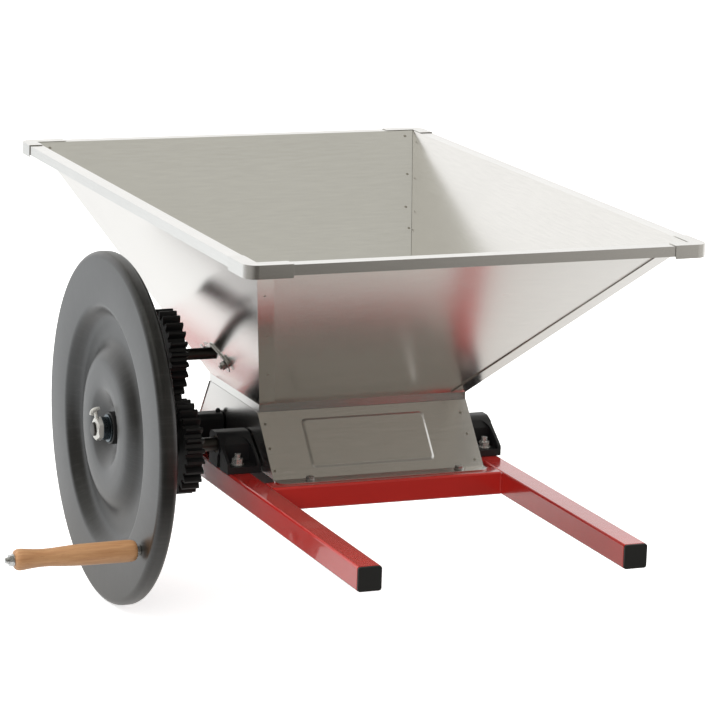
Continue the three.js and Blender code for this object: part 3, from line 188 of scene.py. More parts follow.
def blend_colour(tree, first, second, factor):
    """First colour at factor 0 and second at 1; each is a colour or a socket."""
    made = tree.nodes.new("ShaderNodeMix")
    made.data_type = "RGBA"
    for value, socket in ((first, made.inputs[6]), (second, made.inputs[7])):
        if isinstance(value, (list, tuple)):
            socket.default_value = value
        else:
            tree.links.new(value, socket)
    tree.links.new(factor, made.inputs[0])
    return made.outputs[2]


def math_node(tree, operation, first, second=None):
    made = tree.nodes.new("ShaderNodeMath")
    made.operation = operation
    for value, socket in ((first, made.inputs[0]), (second, made.inputs[1])):
        if isinstance(value, (int, float)):
            socket.default_value = value
        elif value is not None:
            tree.links.new(value, socket)
    return made.outputs[0]


def smooth_range(tree, value, start, stop):
    """0 at start and 1 at stop, eased at both ends."""
    made = tree.nodes.new("ShaderNodeMapRange")
    made.interpolation_type = "SMOOTHSTEP"
    made.inputs["From Min"].default_value = start
    made.inputs["From Max"].default_value = stop
    tree.links.new(value, made.inputs["Value"])
    return made.outputs["Result"]


def stainless_sheet(name, colour, rough):
    """Rolled sheet: fine level streaks, a faint cloud and a slight wave."""
    s = Surface(name)
    s.set(Metallic=1.0)
    streaks = s.noise(1.0, 4.0, 0.6, s.stretched((30, 30, 500)))
    cloud = s.noise(5.0, 4.0, 0.55)
    base = s.mix(tint(colour, 0.94), tint(colour, 1.03), cloud)
    s.colour(s.mix(tint(colour, 0.82), base, s.scaled(streaks, 0.45, 1.25)))
    s.roughness(s.scaled(streaks, rough - 0.03, rough + 0.04))
    wave = s.bump(s.noise(3.2, 1.0, 0.4), 0.25, 0.004)
    s.normal(s.bump(streaks, 0.02, 0.0002, wave))
    return s.material


def zinc_plate(name, colour, rough, metallic=1.0):
    s = Surface(name)
    s.set(Metallic=metallic)
    spangle = s.noise(240.0, 3.0, 0.6)
    s.colour(s.mix(tint(colour, 0.86), tint(colour, 1.08), spangle))
    s.roughness(s.scaled(s.noise(600.0, 2.0), rough - 0.08, rough + 0.1))
    s.normal(s.bump(s.noise(900.0, 2.0), 0.12, 0.0002))
    return s.material


def turned_steel(name, colour, rough):
    """Fine rings around bars that lie along X."""
    s = Surface(name)
    s.set(Metallic=1.0)
    rings = s.noise(1.0, 3.0, 0.6, s.stretched((2200, 40, 40)))
    stain = s.noise(60.0, 4.0, 0.6)
    s.colour(s.mix(tint(colour, 0.7), tint(colour, 1.15), stain))
    s.roughness(s.scaled(rings, rough - 0.08, rough + 0.12))
    s.normal(s.bump(rings, 0.18, 0.0002))
    return s.material


def glossy_paint(name, colour):
    """Clear-coated paint with a little orange peel."""
    s = Surface(name)
    s.set(IOR=1.5, Coat_Weight=1.0, Coat_Roughness=0.04)
    cloud = s.noise(18.0, 3.0, 0.5)
    s.colour(s.mix(tint(colour, 0.9), tint(colour, 1.08), cloud))
    s.roughness(s.scaled(s.noise(90.0, 3.0), 0.16, 0.26))
    peel = s.bump(s.noise(420.0, 2.0, 0.45), 0.35, 0.0005)
    s.normal(s.bump(s.noise(70.0, 1.0, 0.4), 0.25, 0.0008, peel))
    return s.material


def moulded_plastic(name, colour, rough, grain, depth):
    s = Surface(name)
    s.set(IOR=1.5)
    cloud = s.noise(9.0, 4.0, 0.6)
    s.colour(s.mix(tint(colour, 0.88), tint(colour, 1.12), cloud))
    s.roughness(s.scaled(s.noise(26.0, 4.0, 0.6), rough - 0.05, rough + 0.07))
    s.normal(s.bump(s.noise(grain, 2.0), depth, 0.0002))
    return s.material


def polar(s, centre):
    """Distance from an axis along X through the centre, and the angle around it."""
    shift = s.node("ShaderNodeVectorMath", operation="SUBTRACT")
    shift.inputs[1].default_value = centre
    s.link(s.coords, shift.inputs[0])
    flat = s.node("ShaderNodeVectorMath", operation="MULTIPLY")
    flat.inputs[1].default_value = (0, 1, 1)
    s.link(shift.outputs[0], flat.inputs[0])
    length = s.node("ShaderNodeVectorMath", operation="LENGTH")
    s.link(flat.outputs[0], length.inputs[0])
    split = s.node("ShaderNodeSeparateXYZ")
    s.link(flat.outputs[0], split.inputs[0])
    turn = math_node(s.tree, "ARCTAN2", split.outputs["Z"], split.outputs["Y"])
    return length.outputs["Value"], turn


def wheel_plastic(name, colour, rough, centre):
    """Moulded disc: faint rings around the hub, dust and the lines of the plastic's flow."""
    s = Surface(name)
    s.set(IOR=1.6, Coat_Weight=0.6, Coat_Roughness=0.34)
    radius, turn = polar(s, centre)
    rings = s.node("ShaderNodeTexNoise", noise_dimensions="1D")
    rings.inputs["Scale"].default_value = 900.0
    rings.inputs["Detail"].default_value = 3.0
    s.link(radius, rings.inputs["W"])
    cloud = s.noise(7.0, 5.0, 0.6)
    dust = s.noise(55.0, 5.0, 0.65)
    base = s.mix(tint(colour, 0.9), tint(colour, 1.1), cloud)
    base = s.mix(base, tint(colour, 1.35), s.ramp(dust, [(0.56, 0.0), (0.8, 0.35)]))
    flow = s.node("ShaderNodeTexNoise", noise_dimensions="2D")
    flow.inputs["Scale"].default_value = 1.0
    flow.inputs["Detail"].default_value = 5.0
    flow.inputs["Roughness"].default_value = 0.7
    lines = s.node("ShaderNodeCombineXYZ")
    s.link(math_node(s.tree, "MULTIPLY", turn, 9.0), lines.inputs["X"])
    s.link(math_node(s.tree, "MULTIPLY", radius, 7.0), lines.inputs["Y"])
    s.link(lines.outputs[0], flow.inputs["Vector"])
    streak = s.ramp(flow.outputs["Fac"], [(0.47, 0.0), (0.5, 1.0), (0.53, 0.0)])
    s.colour(s.mix(base, tint(colour, 2.1), streak))
    s.roughness(s.scaled(cloud, rough - 0.06, rough + 0.06))
    grain = s.bump(s.noise(1500.0, 2.0), 0.08, 0.0002)
    s.normal(s.bump(rings.outputs["Fac"], 0.05, 0.0002, grain))
    return s.material


def cast_black(name, colour, rough):
    s = Surface(name)
    s.set(IOR=1.5, Coat_Weight=0.15, Coat_Roughness=0.35)
    cloud = s.noise(40.0, 4.0, 0.6)
    s.colour(s.mix(tint(colour, 0.75), tint(colour, 1.35), cloud))
    s.roughness(s.scaled(cloud, rough - 0.08, rough + 0.12))
    grain = s.bump(s.noise(700.0, 4.0, 0.6), 0.3, 0.0004)
    s.normal(s.bump(s.noise(120.0, 3.0), 0.25, 0.0008, grain))
    return s.material


def oiled_wood(name, light, dark):
    """Grain and open pores along X."""
    s = Surface(name)
    s.set(IOR=1.45, Coat_Weight=0.25, Coat_Roughness=0.25)
    grain = s.noise(1.0, 6.0, 0.62, s.stretched((14, 190, 190)), 0.6)
    pores = s.noise(1.0, 3.0, 0.5, s.stretched((60, 1500, 1500)))
    blotch = s.noise(16.0, 3.0, 0.5)
    base = s.mix(light, dark, s.ramp(grain, [(0.35, 0.0), (0.72, 1.0)]))
    base = s.mix(base, tint(light, 1.12), s.scaled(blotch, 0.0, 0.5))
    s.colour(s.mix(base, tint(dark, 0.55), s.ramp(pores, [(0.62, 0.0), (0.75, 0.55)])))
    s.roughness(s.scaled(grain, 0.34, 0.5))
    s.normal(s.bump(pores, 0.12, 0.0003))
    return s.material


# One look for each material slot, and the looks that some pieces of a slot have instead

wheel_centre = [0.0] + centre_of("flywheel")[1:]
finish = {
    "red_paint": glossy_paint("red_paint", linear("c42a24")),
    "cap_plastic": moulded_plastic("cap_plastic", linear("2b2b2a"), 0.45, 900.0, 0.15),
    "stainless": stainless_sheet("stainless", linear("f4f2ee"), 0.25),
    "stainless_side": stainless_sheet("stainless_side", linear("f4f2ee"), 0.18),
    "weld_spot": zinc_plate("weld_spot", linear("b3aea3"), 0.36),
    # Dark material for painted shade, in the front seam and in the gaps beside the rails
    "seam_shadow": cast_black("seam_shadow", linear("1d1b19"), 0.6),
    "zinc": zinc_plate("zinc", linear("dcdcda"), 0.28),
    # Whiter, less metallic copies of zinc: painted highlight for the glints on the hub's nut and pin and on
    # the housing studs
    "zinc_painted_highlight": zinc_plate("zinc_painted_highlight", linear("eceae4"), 0.34, 0.6),
    "zinc_painted_light": zinc_plate("zinc_painted_light", linear("e6e5e1"), 0.26, 0.82),
    # Darker copy of zinc: painted dark reflection on the hub's washer and sleeve
    "zinc_painted_shade": zinc_plate("zinc_painted_shade", linear("69747a"), 0.28),
    "black_metal": cast_black("black_metal", linear("19191a"), 0.5),
    "bronze": turned_steel("bronze", linear("6b5b44"), 0.4),
    "wheel_plastic": wheel_plastic("wheel_plastic", linear("181817"), 0.38, wheel_centre),
    "gear_plastic": moulded_plastic("gear_plastic", linear("1c1c1c"), 0.42, 1100.0, 0.12),
    "alloy": zinc_plate("alloy", linear("a9aaa8"), 0.42),
    "shaft_steel": turned_steel("shaft_steel", linear("5a5855"), 0.33),
    "wood": oiled_wood("wood", linear("c99b70"), linear("a57149")),
}


# Mesh helpers

def add_object(name, mesh, body, material, look=None):
    obj = bpy.data.objects.new(name, mesh)
    bpy.context.scene.collection.objects.link(obj)
    mesh.materials.clear()
    mesh.materials.append(finish[look or material])
    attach(obj, body)
    return obj


def soften(obj, width, segments=2, angle=28):
    """Rounded edges, in mm, with flats that stay flat."""
    bevel = obj.modifiers.new("edge", "BEVEL")
    bevel.width = width * MM
    bevel.segments = segments
    bevel.limit_method = "ANGLE"
    bevel.angle_limit = math.radians(angle)
    bevel.use_clamp_overlap = True
    bevel.miter_outer = "MITER_ARC"
    normals = obj.modifiers.new("flats", "WEIGHTED_NORMAL")
    normals.keep_sharp = True
    normals.weight = 60


def closed_mesh(name, bm, smooth=True, sharp=None):
    """The finished mesh, with edges over the sharp angle kept hard."""
    bmesh.ops.recalc_face_normals(bm, faces=bm.faces)
    mesh = bpy.data.meshes.new(name)
    bm.to_mesh(mesh)
    bm.free()
    if smooth:
        mesh.shade_smooth()
    if sharp:
        mesh.set_sharp_from_angle(angle=math.radians(sharp))
    return mesh


def circle_steps(count):
    return [2 * math.pi * k / count for k in range(count)]


def bridge(bm, first, second):
    """Faces between two closed rings with as many corners."""
    for k in range(len(first)):
        n = (k + 1) % len(first)
        bm.faces.new((first[k], first[n], second[n], second[k]))


def loft(name, outlines, smooth=True, sharp=None):
    """Closed solid through outlines of points in mm, flat at both ends."""
    bm = bmesh.new()
    rings = [[bm.verts.new(point * MM) for point in outline] for outline in outlines]
    for first, second in zip(rings, rings[1:]):
        bridge(bm, first, second)
    bm.faces.new(rings[0][::-1])
    bm.faces.new(rings[-1])
    return closed_mesh(name, bm, smooth, sharp)


SAME_POINT = 2e-6                            # metres within which two corners are one
SAME_POINT_RESHAPED = 2e-5
NO_LENGTH = 1e-6
FLAT_ANGLE = 0.4                             # degrees under which two faces are one flat


def refine(node, width, segments=2, angle=28, look=None, reshape=None):
    """The CAD node again with merged flats and rounded edges."""
    bm = bmesh.new()
    bm.from_mesh(nodes[node].data)
    bmesh.ops.remove_doubles(bm, verts=bm.verts, dist=SAME_POINT)
    if reshape:
        reshape(bm)
        bmesh.ops.remove_doubles(bm, verts=bm.verts, dist=SAME_POINT_RESHAPED)
        bmesh.ops.dissolve_degenerate(bm, edges=bm.edges, dist=NO_LENGTH)
    bmesh.ops.dissolve_limit(bm, angle_limit=math.radians(FLAT_ANGLE), verts=bm.verts, edges=bm.edges)
    name = node + "_form"
    obj = add_object(name, closed_mesh(name, bm), body_of[node], slot_of[node], look)
    soften(obj, width, segments, angle)
    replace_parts(obj, node)


LONGEST_REACH = 0.49                         # share of a side that one rounding may take


def rounded(points, steps=5):
    """A closed profile of (x, r, radius) corners, with each corner rounded off."""
    out = []
    count = len(points)
    for i, (x, r, radius) in enumerate(points):
        here = Vector((x, r))
        if radius <= 0:
            out.append(here)
            continue
        before = Vector(points[i - 1][:2]) - here
        after = Vector(points[(i + 1) % count][:2]) - here
        reach = radius / math.tan(before.angle(after) / 2)
        reach = min(reach, before.length * LONGEST_REACH, after.length * LONGEST_REACH)
        start = here + before.normalized() * reach
        end = here + after.normalized() * reach
        for k in range(steps + 1):
            t = k / steps
            out.append(start.lerp(here, t).lerp(here.lerp(end, t), t))
    return out


def spline(points, steps):
    """Smooth curve through points, open at both ends."""
    points = [Vector(p) for p in points]
    out = []
    ends = [points[0] * 2 - points[1]] + points + [points[-1] * 2 - points[-2]]
    for i in range(1, len(ends) - 2):
        p0, p1, p2, p3 = ends[i - 1:i + 3]
        for k in range(steps):
            t = k / steps
            out.append(0.5 * ((2 * p1) + (p2 - p0) * t + (2 * p0 - 5 * p1 + 4 * p2 - p3) * t * t
                              + (3 * p1 - p0 - 3 * p2 + p3) * t ** 3))
    out.append(points[-1])
    return out


def turned(name, profile, y, z, body, material, replaced, segments, sharp=40, look=None):
    """Solid of revolution about an axis along X; the profile is closed, in mm."""
    bm = bmesh.new()
    rings = []
    for x, r in profile:
        if r < 1e-6:
            rings.append([bm.verts.new((x * MM, y * MM, z * MM))])
        else:
            rings.append([bm.verts.new((x * MM, (y + r * math.cos(a)) * MM, (z + r * math.sin(a)) * MM))
                          for a in circle_steps(segments)])
    for first, second in zip(rings, rings[1:] + rings[:1]):
        for k in range(segments):
            a, b = first[k % len(first)], first[(k + 1) % len(first)]
            c, d = second[(k + 1) % len(second)], second[k % len(second)]
            face = []
            for vert in (a, b, c, d):
                if vert not in face:
                    face.append(vert)
            if len(face) > 2:
                bm.faces.new(face)
    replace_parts(add_object(name, closed_mesh(name, bm, sharp=sharp), body, material, look), replaced)


def tube(name, path, radius, body, material, segments, look=None):
    """Round bar swept along a path in mm; the radius is worked out for each point by its number."""
    points = [Vector(p) for p in path]
    side = Vector((0, 1, 0))
    outlines = []
    for i, point in enumerate(points):
        ahead = points[min(i + 1, len(points) - 1)] - points[max(i - 1, 0)]
        ahead.normalize()
        across = side - ahead * side.dot(ahead)
        across.normalize()
        up = ahead.cross(across)
        r = radius(i)
        outlines.append([point + across * r * math.cos(a) + up * r * math.sin(a)
                         for a in circle_steps(segments)])
    return add_object(name, loft(name, outlines, sharp=50), body, material, look)


# Pressed panel of the front plate. The plate's own bead is filled, and the panel is drawn in full.

PLATE_NORMAL = Vector((0, -0.75753, 0.6528))
PLATE_DOWN = Vector((0, -0.6528, -0.75753))
PLATE_LEVEL = 8.417                          # outer face of the plate, along its normal
PANEL_X = -4.5
PANEL_DOWN = -82.0                           # centre of the panel, along PLATE_DOWN
BEAD_HALF_X, BEAD_HALF_DOWN = 83, 34
BEAD_DEPTH, BEAD_DEPTH_SLACK = 1.4, 0.05
PANEL_HALF_X, PANEL_HALF_DOWN = 84.0, 35.0
# From the foot in the plate to the flat top: inset, corner radius, height over the plate
PANEL_STEPS = [(-0.2, 6.0, -0.6), (0.0, 6.0, 0.02), (0.6, 5.6, 0.1), (2.6, 4.4, 1.3),
               (3.4, 4.0, 1.5), (4.4, 3.6, 1.52), (8.0, 3.0, 1.52)]


def flush_bead(bm):
    """Lifts the floor of the plate's bead to the plate's face."""
    for vert in bm.verts:
        level = vert.co.dot(PLATE_NORMAL) / MM - PLATE_LEVEL
        across = abs(vert.co.x / MM - PANEL_X)
        along = abs(vert.co.dot(PLATE_DOWN) / MM - PANEL_DOWN)
        on_floor = abs(level + BEAD_DEPTH) < BEAD_DEPTH_SLACK
        if on_floor and across < BEAD_HALF_X and along < BEAD_HALF_DOWN:
            vert.co -= PLATE_NORMAL * level * MM


def panel_outline(half_x, half_down, corner, lift):
    """Rounded rectangle on the plate, at a height over its face."""
    points = []
    for turn, side_x, side_down in ((0, 1, 1), (90, -1, 1), (180, -1, -1), (270, 1, -1)):
        for k in range(7):
            angle = math.radians(turn + 15 * k)
            x = PANEL_X + side_x * (half_x - corner) + corner * math.cos(angle)
            down = PANEL_DOWN + side_down * (half_down - corner) + corner * math.sin(angle)
            points.append(Vector((x, 0, 0)) + PLATE_DOWN * down + PLATE_NORMAL * (PLATE_LEVEL + lift))
    return points


def pressed_panel():
    outlines = [panel_outline(PANEL_HALF_X - inset, PANEL_HALF_DOWN - inset, corner, lift)
                for inset, corner, lift in PANEL_STEPS]
    add_object("front_panel", loft("front_panel", outlines, sharp=50), "stand", "stainless")


# Painted shade: a dark strip at the foot of each side plate, standing in for the shadow in the gap beside
# its rail

SHADE_STRIP_THICKNESS = 1.2
SHADE_STRIP_HEIGHT = 17.2
SHADE_STRIP_GAP = 0.3                              # between the strip and the plate above it
SHADE_STRIP_FRONT_INSET, SHADE_STRIP_BACK_INSET = 0.4, 3.4


def painted_shade_strip(side):
    low, high = corners(f"casing_{side}_plate")
    x0 = low[0] if side == "left" else high[0] - SHADE_STRIP_THICKNESS
    front, back = low[1] + SHADE_STRIP_FRONT_INSET, high[1] - SHADE_STRIP_BACK_INSET
    top = low[2] - SHADE_STRIP_GAP
    bottom = top - SHADE_STRIP_HEIGHT
    edge = rounded([(front, top, 0.6), (front, bottom, 5), (back, bottom, 5), (back, top, 0.6)])
    outlines = [[Vector((x, y, z)) for y, z in edge] for x in (x0, x0 + SHADE_STRIP_THICKNESS)]
    name = f"painted_shade_strip_{side}"
    soften(add_object(name, loft(name, outlines, smooth=False), "stand", "stainless", "seam_shadow"), 0.3)


for side in ("left", "right"):
    painted_shade_strip(side)


# CAD pieces with finer edges, each with the width of its rounding in mm

for side in ("left", "right"):
    refine(f"rail_{side}", 0.35, angle=40)
    for end in ("front", "rear"):
        refine(f"end_cap_{end}_{side}", 0.6, segments=3)
        refine(f"rim_cap_{end}_{side}", 0.25, angle=40)
        # Housing studs in the lit copy of zinc, a painted highlight
        refine(f"housing_stud_{end}_{side}", 0.4, look="zinc_painted_light")
        refine(f"wing_screw_{end}_{side}", 0.5, segments=3)
        refine(f"bush_{end}_{side}", 0.4)
    refine(f"bearing_housing_{side}", 1.0, segments=3)
    refine(f"rotor_bearing_{side}", 0.8, segments=3)
    refine(f"housing_screw_{side}", 0.3)
    refine(f"casing_bolt_{side}", 0.35)
    refine(f"casing_{side}_plate", 0.25)
    refine(f"hopper_{side}_wall", 0.3, look="stainless_side")
for end in ("front", "rear"):
    refine(f"cross_member_{end}", 0.35, angle=40)
    refine(f"hopper_{end}_wall", 0.3)
    refine(f"casing_{end}_plate", 0.3, reshape=flush_bead if end == "front" else None)
for gear in ("gear_rear", "gear_front", "gear_rotor"):
    refine(gear, 0.5)
for roller in ("roller_rear", "roller_front"):
    refine(roller, 0.6)
refine("scratter_drum", 0.3)
for piece in ("crank_stud", "crank_stud_nut", "grip_nut"):
    refine(piece, 0.35)
# Hub nut in the whiter copy of zinc, a painted highlight
refine("hub_nut", 0.35, look="zinc_painted_highlight")


# Flywheel, turned about its axle. X grows to the right, so its dished outer face has the lower X.

AXLE_Y, AXLE_Z = (round(v, 3) for v in middle("flywheel")[1:])
WHEEL_R = 227
WHEEL_FACE_X, WHEEL_BACK_X = -300.5, -276.5
WHEEL_EDGE_R = 8.5
HUB_R, HUB_BACK_X = 24.2, -246.7
BORE_R = 9.2
HUB_FACE_DEPTH = 17
# The dished face as (depth behind the rim, radius), from the hub's face out to the flat rim
DISH = [(17.0, 20.0), (17.0, 23.0), (16.3, 26.5), (13.9, 30.5), (9.8, 37.0), (6.3, 43.5), (3.7, 48.7),
        (2.1, 52.8), (1.3, 57.5), (0.8, 64.0), (0.7, 70.0), (0.8, 77.0), (1.1, 82.0), (1.9, 87.5),
        (3.4, 92.3), (5.8, 96.9), (9.2, 101.6), (12.7, 106.0), (15.2, 110.4), (17.0, 116.0),
        (17.8, 123.0), (18.0, 131.0), (17.5, 138.3), (15.3, 144.3), (10.9, 149.0), (5.6, 153.1),
        (2.0, 156.5), (0.5, 159.5), (0.0, 163.0)]


def wheel_outline():
    points = [(WHEEL_FACE_X + depth, r) for depth, r in spline(DISH, steps=5)]
    for centre_x, start in ((WHEEL_FACE_X + WHEEL_EDGE_R, 180), (WHEEL_BACK_X - WHEEL_EDGE_R, 90)):
        for k in range(9):
            turn = math.radians(start - 90 * k / 8)
            points.append((centre_x + WHEEL_EDGE_R * math.cos(turn),
                           WHEEL_R - WHEEL_EDGE_R + WHEEL_EDGE_R * math.sin(turn)))
    fillet = [(WHEEL_BACK_X, 32.0), (WHEEL_BACK_X + 0.8, 28.0), (WHEEL_BACK_X + 4, HUB_R)]
    hub = [(HUB_BACK_X, HUB_R), (HUB_BACK_X, BORE_R), (WHEEL_FACE_X + HUB_FACE_DEPTH, BORE_R)]
    return points + fillet + hub


turned("flywheel_disc", wheel_outline(), AXLE_Y, AXLE_Z, "drive", "wheel_plastic", "flywheel",
       segments=192, sharp=32)


# Rings on the axle, from the wheel outwards

def ring_form(node, outer, x0, x1, edge, material, look=None):
    profile = rounded([(x0, BORE_R, 0.4), (x0, outer, edge), (x1, outer, edge * 0.5), (x1, BORE_R, 0.2)])
    turned(f"{node}_form", profile, AXLE_Y, AXLE_Z, "drive", material, node, segments=96, look=look)


ring_form("hub_collar", 21.0, -292.8, -283.8, 1.6, "gear_plastic")
# Washer and sleeve in the darker copy of zinc, a painted dark reflection
ring_form("hub_washer", 18.0, -294.9, -293.1, 0.5, "zinc", "zinc_painted_shade")
ring_form("hub_sleeve", 14.8, -303.4, -295.3, 0.7, "shaft_steel", "zinc_painted_shade")


# Shafts, each with a collar at its right end

def bar_form(node, y, z, radius, head, head_radius, body):
    low, high = corners(node)
    x0, x1 = low[0], high[0]
    profile = rounded([(x0, 0, 0), (x0, radius, 1.3), (x1 - head, radius, 0),
                       (x1 - head, head_radius, 0.4), (x1, head_radius, 0.9), (x1, 0, 0)], steps=4)
    turned(f"{node}_form", profile, y, z, body, "shaft_steel", node, segments=64, sharp=35)


ROLLER_SHAFT = {"radius": 8.75, "head": 2.0, "head_radius": 10.4}
ROTOR_SHAFT = {"radius": 7.5, "head": 7.4, "head_radius": 11.5}
bar_form("shaft_rear", AXLE_Y, AXLE_Z, body="drive", **ROLLER_SHAFT)
bar_form("shaft_front", middle("gear_front")[1], AXLE_Z, body="front_roller", **ROLLER_SHAFT)
bar_form("shaft_rotor", *middle("gear_rotor")[1:], body="rotor", **ROTOR_SHAFT)


# Bent pin through the shaft's end, as (x, z) points in the axle's plane: stem and head

PIN_STEM = [(-308.2, 46.5), (-308.4, 60.0), (-309.2, 74.0), (-310.4, 81.5)]
PIN_HEAD = [(-305.6, 85.4), (-309.4, 84.9), (-313.0, 83.6), (-315.4, 81.0), (-316.2, 77.6)]
PIN_R = 2.6
PIN_HEAD_R, PIN_HEAD_SWELL = 2.3, 0.7
PIN_SEGMENTS = 24


def pin_path(points):
    return spline([(x, AXLE_Y, z) for x, z in points], steps=6)


def pin_head_radius(i):
    """Thickest at the middle of the head, thinner towards both ends."""
    return PIN_HEAD_R + PIN_HEAD_SWELL * math.sin(math.pi * (i + 3) / 29)


# Pin in the whiter copy of zinc, a painted highlight
pin = tube("hub_pin_stem", pin_path(PIN_STEM), lambda i: PIN_R, "drive", "zinc", PIN_SEGMENTS, "zinc_painted_highlight")
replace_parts(pin, "hub_pin")
tube("hub_pin_head", pin_path(PIN_HEAD), pin_head_radius, "drive", "zinc", PIN_SEGMENTS, "zinc_painted_highlight")


# Wooden grip, as (distance from its end at the wheel, radius)

GRIP_LENGTH = 158
GRIP_BORE_R = 4.6
GRIP = [(0, 9.4), (0.7, 11.0), (2.4, 12.5), (7, 13.7), (16, 14.0), (38, 13.9), (62, 13.7), (80, 13.3),
        (98, 12.3), (112, 11.4), (122, 11.3), (132, 11.8), (144, 13.1), (150, 13.6), (154.4, 13.0),
        (157, 11.3), (GRIP_LENGTH, 9.2)]


def grip_outline():
    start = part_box("grip")[1][0] * PER_METRE
    curve = spline([(start - along, r) for along, r in GRIP], steps=6)
    return [(start, GRIP_BORE_R)] + curve + [(start - GRIP_LENGTH, GRIP_BORE_R)]


turned("grip_form", grip_outline(), *middle("crank_stud")[1:], body_of["grip"], "wood", "grip",
       segments=80, sharp=50)

pressed_panel()


# Marks of spot welding, at places in mm on the faces of the sheets

# Half of a mark's section, from its middle out, as (share of its radius, share of its height)
MARK_PROFILE = [(0.0, 0.5), (0.35, 0.6), (0.6, 1.0), (0.8, 0.75), (1.0, -0.4)]
MARK_SEGMENTS = 20
REAR_WALL_NORMAL = (0, -0.603, 0.798)
FRONT_WALL_NORMAL = (0, -0.603, -0.798)
REAR_MARKS = [(261.8, 581.5, 360.6), (242.4, 523.7, 316.8), (220.9, 474.9, 279.9), (213.2, 443.6, 256.2)]
FRONT_MARKS = [(-239.9, -186.8, 312.8), (-200.0, -93.0, 242.0), (-160.5, 0.8, 170.9)]
PLATE_MARKS = [(131.2, 66.0, 89.5), (132.4, 46.1, 66.4), (133.5, 21.9, 38.3),
               (-136.6, 67.1, 90.8), (-138.1, 44.6, 64.7), (-138.5, 24.1, 40.9)]


def spot_welds(name, places, normal, radius, proud):
    """Small round marks, each a low lens with a ring around it."""
    normal = Vector(normal).normalized()
    side = normal.cross(Vector((1, 0, 0))).normalized()
    other = normal.cross(side)
    bm = bmesh.new()
    for place in places:
        centre = Vector(place)
        tip = bm.verts.new((centre + normal * MARK_PROFILE[0][1] * proud) * MM)
        rings = []
        for share, height in MARK_PROFILE[1:]:
            level = centre + normal * height * proud
            reach = radius * share
            rings.append([bm.verts.new((level + (side * math.cos(a) + other * math.sin(a)) * reach) * MM)
                          for a in circle_steps(MARK_SEGMENTS)])
        for k in range(MARK_SEGMENTS):
            bm.faces.new((tip, rings[0][k], rings[0][(k + 1) % MARK_SEGMENTS]))
        for first, second in zip(rings, rings[1:]):
            bridge(bm, second, first)
        bm.faces.new(rings[-1][::-1])
    add_object(name, closed_mesh(name, bm), "stand", "stainless", "weld_spot")


both_sides = REAR_MARKS + [(-x, y, z) for x, y, z in REAR_MARKS]
spot_welds("weld_marks_rear_wall", both_sides, REAR_WALL_NORMAL, 2.3, 0.22)
spot_welds("weld_marks_front_wall", FRONT_MARKS, FRONT_WALL_NORMAL, 2.0, 0.18)
spot_welds("weld_marks_front_plate", PLATE_MARKS, PLATE_NORMAL, 2.0, 0.16)


# Painted shade: a dark bar along the seam between hopper and front plate, standing in for the shadow in its
# fold

SEAM_Y, SEAM_Z = 78.45, 114.75
SEAM_HALF = 138
SEAM_R = 0.55
SEAM_STEP = 12
seam = [(x, SEAM_Y, SEAM_Z) for x in range(-SEAM_HALF, SEAM_HALF + 1, SEAM_STEP)]
tube("front_seam_painted_shade", seam, lambda i: SEAM_R, "stand", "stainless", segments=10, look="seam_shadow")


# Weld beads where the cross members meet the rails

WELD_POINTS, WELD_PITCH = 18, 1.6
WELD_WOBBLE = (0.0, 0.35, 0.1, -0.25, 0.2, 0.4, -0.1, 0.3, -0.3, 0.15, 0.45, -0.15)
WELD_INSET = 0.3                             # from the end of the cross member
WELD_FACE_R, WELD_FACE_PROUD, WELD_FACE_START = 1.3, 0.2, 1.5
WELD_TOP_R, WELD_TOP_PROUD, WELD_TOP_START = 1.2, 0.1, 1.0


def weld_bead(name, path, radius):
    tube(name, path, lambda i: radius + WELD_WOBBLE[i % len(WELD_WOBBLE)], "stand", "red_paint", segments=12)


for end in ("front", "rear"):
    low, high = corners(f"cross_member_{end}")
    face_y = low[1] - WELD_FACE_PROUD if end == "front" else high[1] + WELD_FACE_PROUD
    top_z = high[2] + WELD_TOP_PROUD
    face_steps = [low[2] + WELD_FACE_START + WELD_PITCH * k for k in range(WELD_POINTS)]
    top_steps = [low[1] + WELD_TOP_START + WELD_PITCH * k for k in range(WELD_POINTS)]
    for side, x in (("left", low[0] + WELD_INSET), ("right", high[0] - WELD_INSET)):
        weld_bead(f"weld_{end}_{side}_face", [(x, face_y, z) for z in face_steps], WELD_FACE_R)
        weld_bead(f"weld_{end}_{side}_top", [(x, y, top_z) for y in top_steps], WELD_TOP_R)


# Floor. White to the eye; steel sees it painted by place: a painted shadow below the machine, and darker in
# front of it.

FLOOR_R, FLOOR_GAP = 40, 0.001               # metres; the gap lies under the machine
FLOOR_SEEN = grey(0.95)
FLOOR_OPEN = grey(0.95)
FLOOR_LEFT = (0.87, 0.895, 0.915, 1)
# Painted shadow of the machine, on the floor as steel sees it
FLOOR_SHADOW_BELOW = grey(0.62, 0.03)
FLOOR_FRONT = grey(0.07, 0.06)
FLOOR_FRONT_RIGHT = grey(0.5, 0.03)
FLOOR_FAR_LEFT = grey(0.36, 0.02)
GLOW_TO_CAMERA = 0.68
GLOW_TO_STEEL = 0.72
DIFFUSE_LOST_TO_STEEL = 0.7
# Where one zone gives way to the next, in metres from the frame's origin
BESIDE_X = (0.1, 0.66)
PAST_FRONT_Y = (-0.3, 0.0)
BEHIND_Y = (0.25, 0.9)
LEFT_X = (-0.2, -0.7)
FRONT_RIGHT_X = (0.55, 1.9)
FAR_LEFT_X, FAR_LEFT_Y = (-1.4, -2.4), (2.2, 1.0)


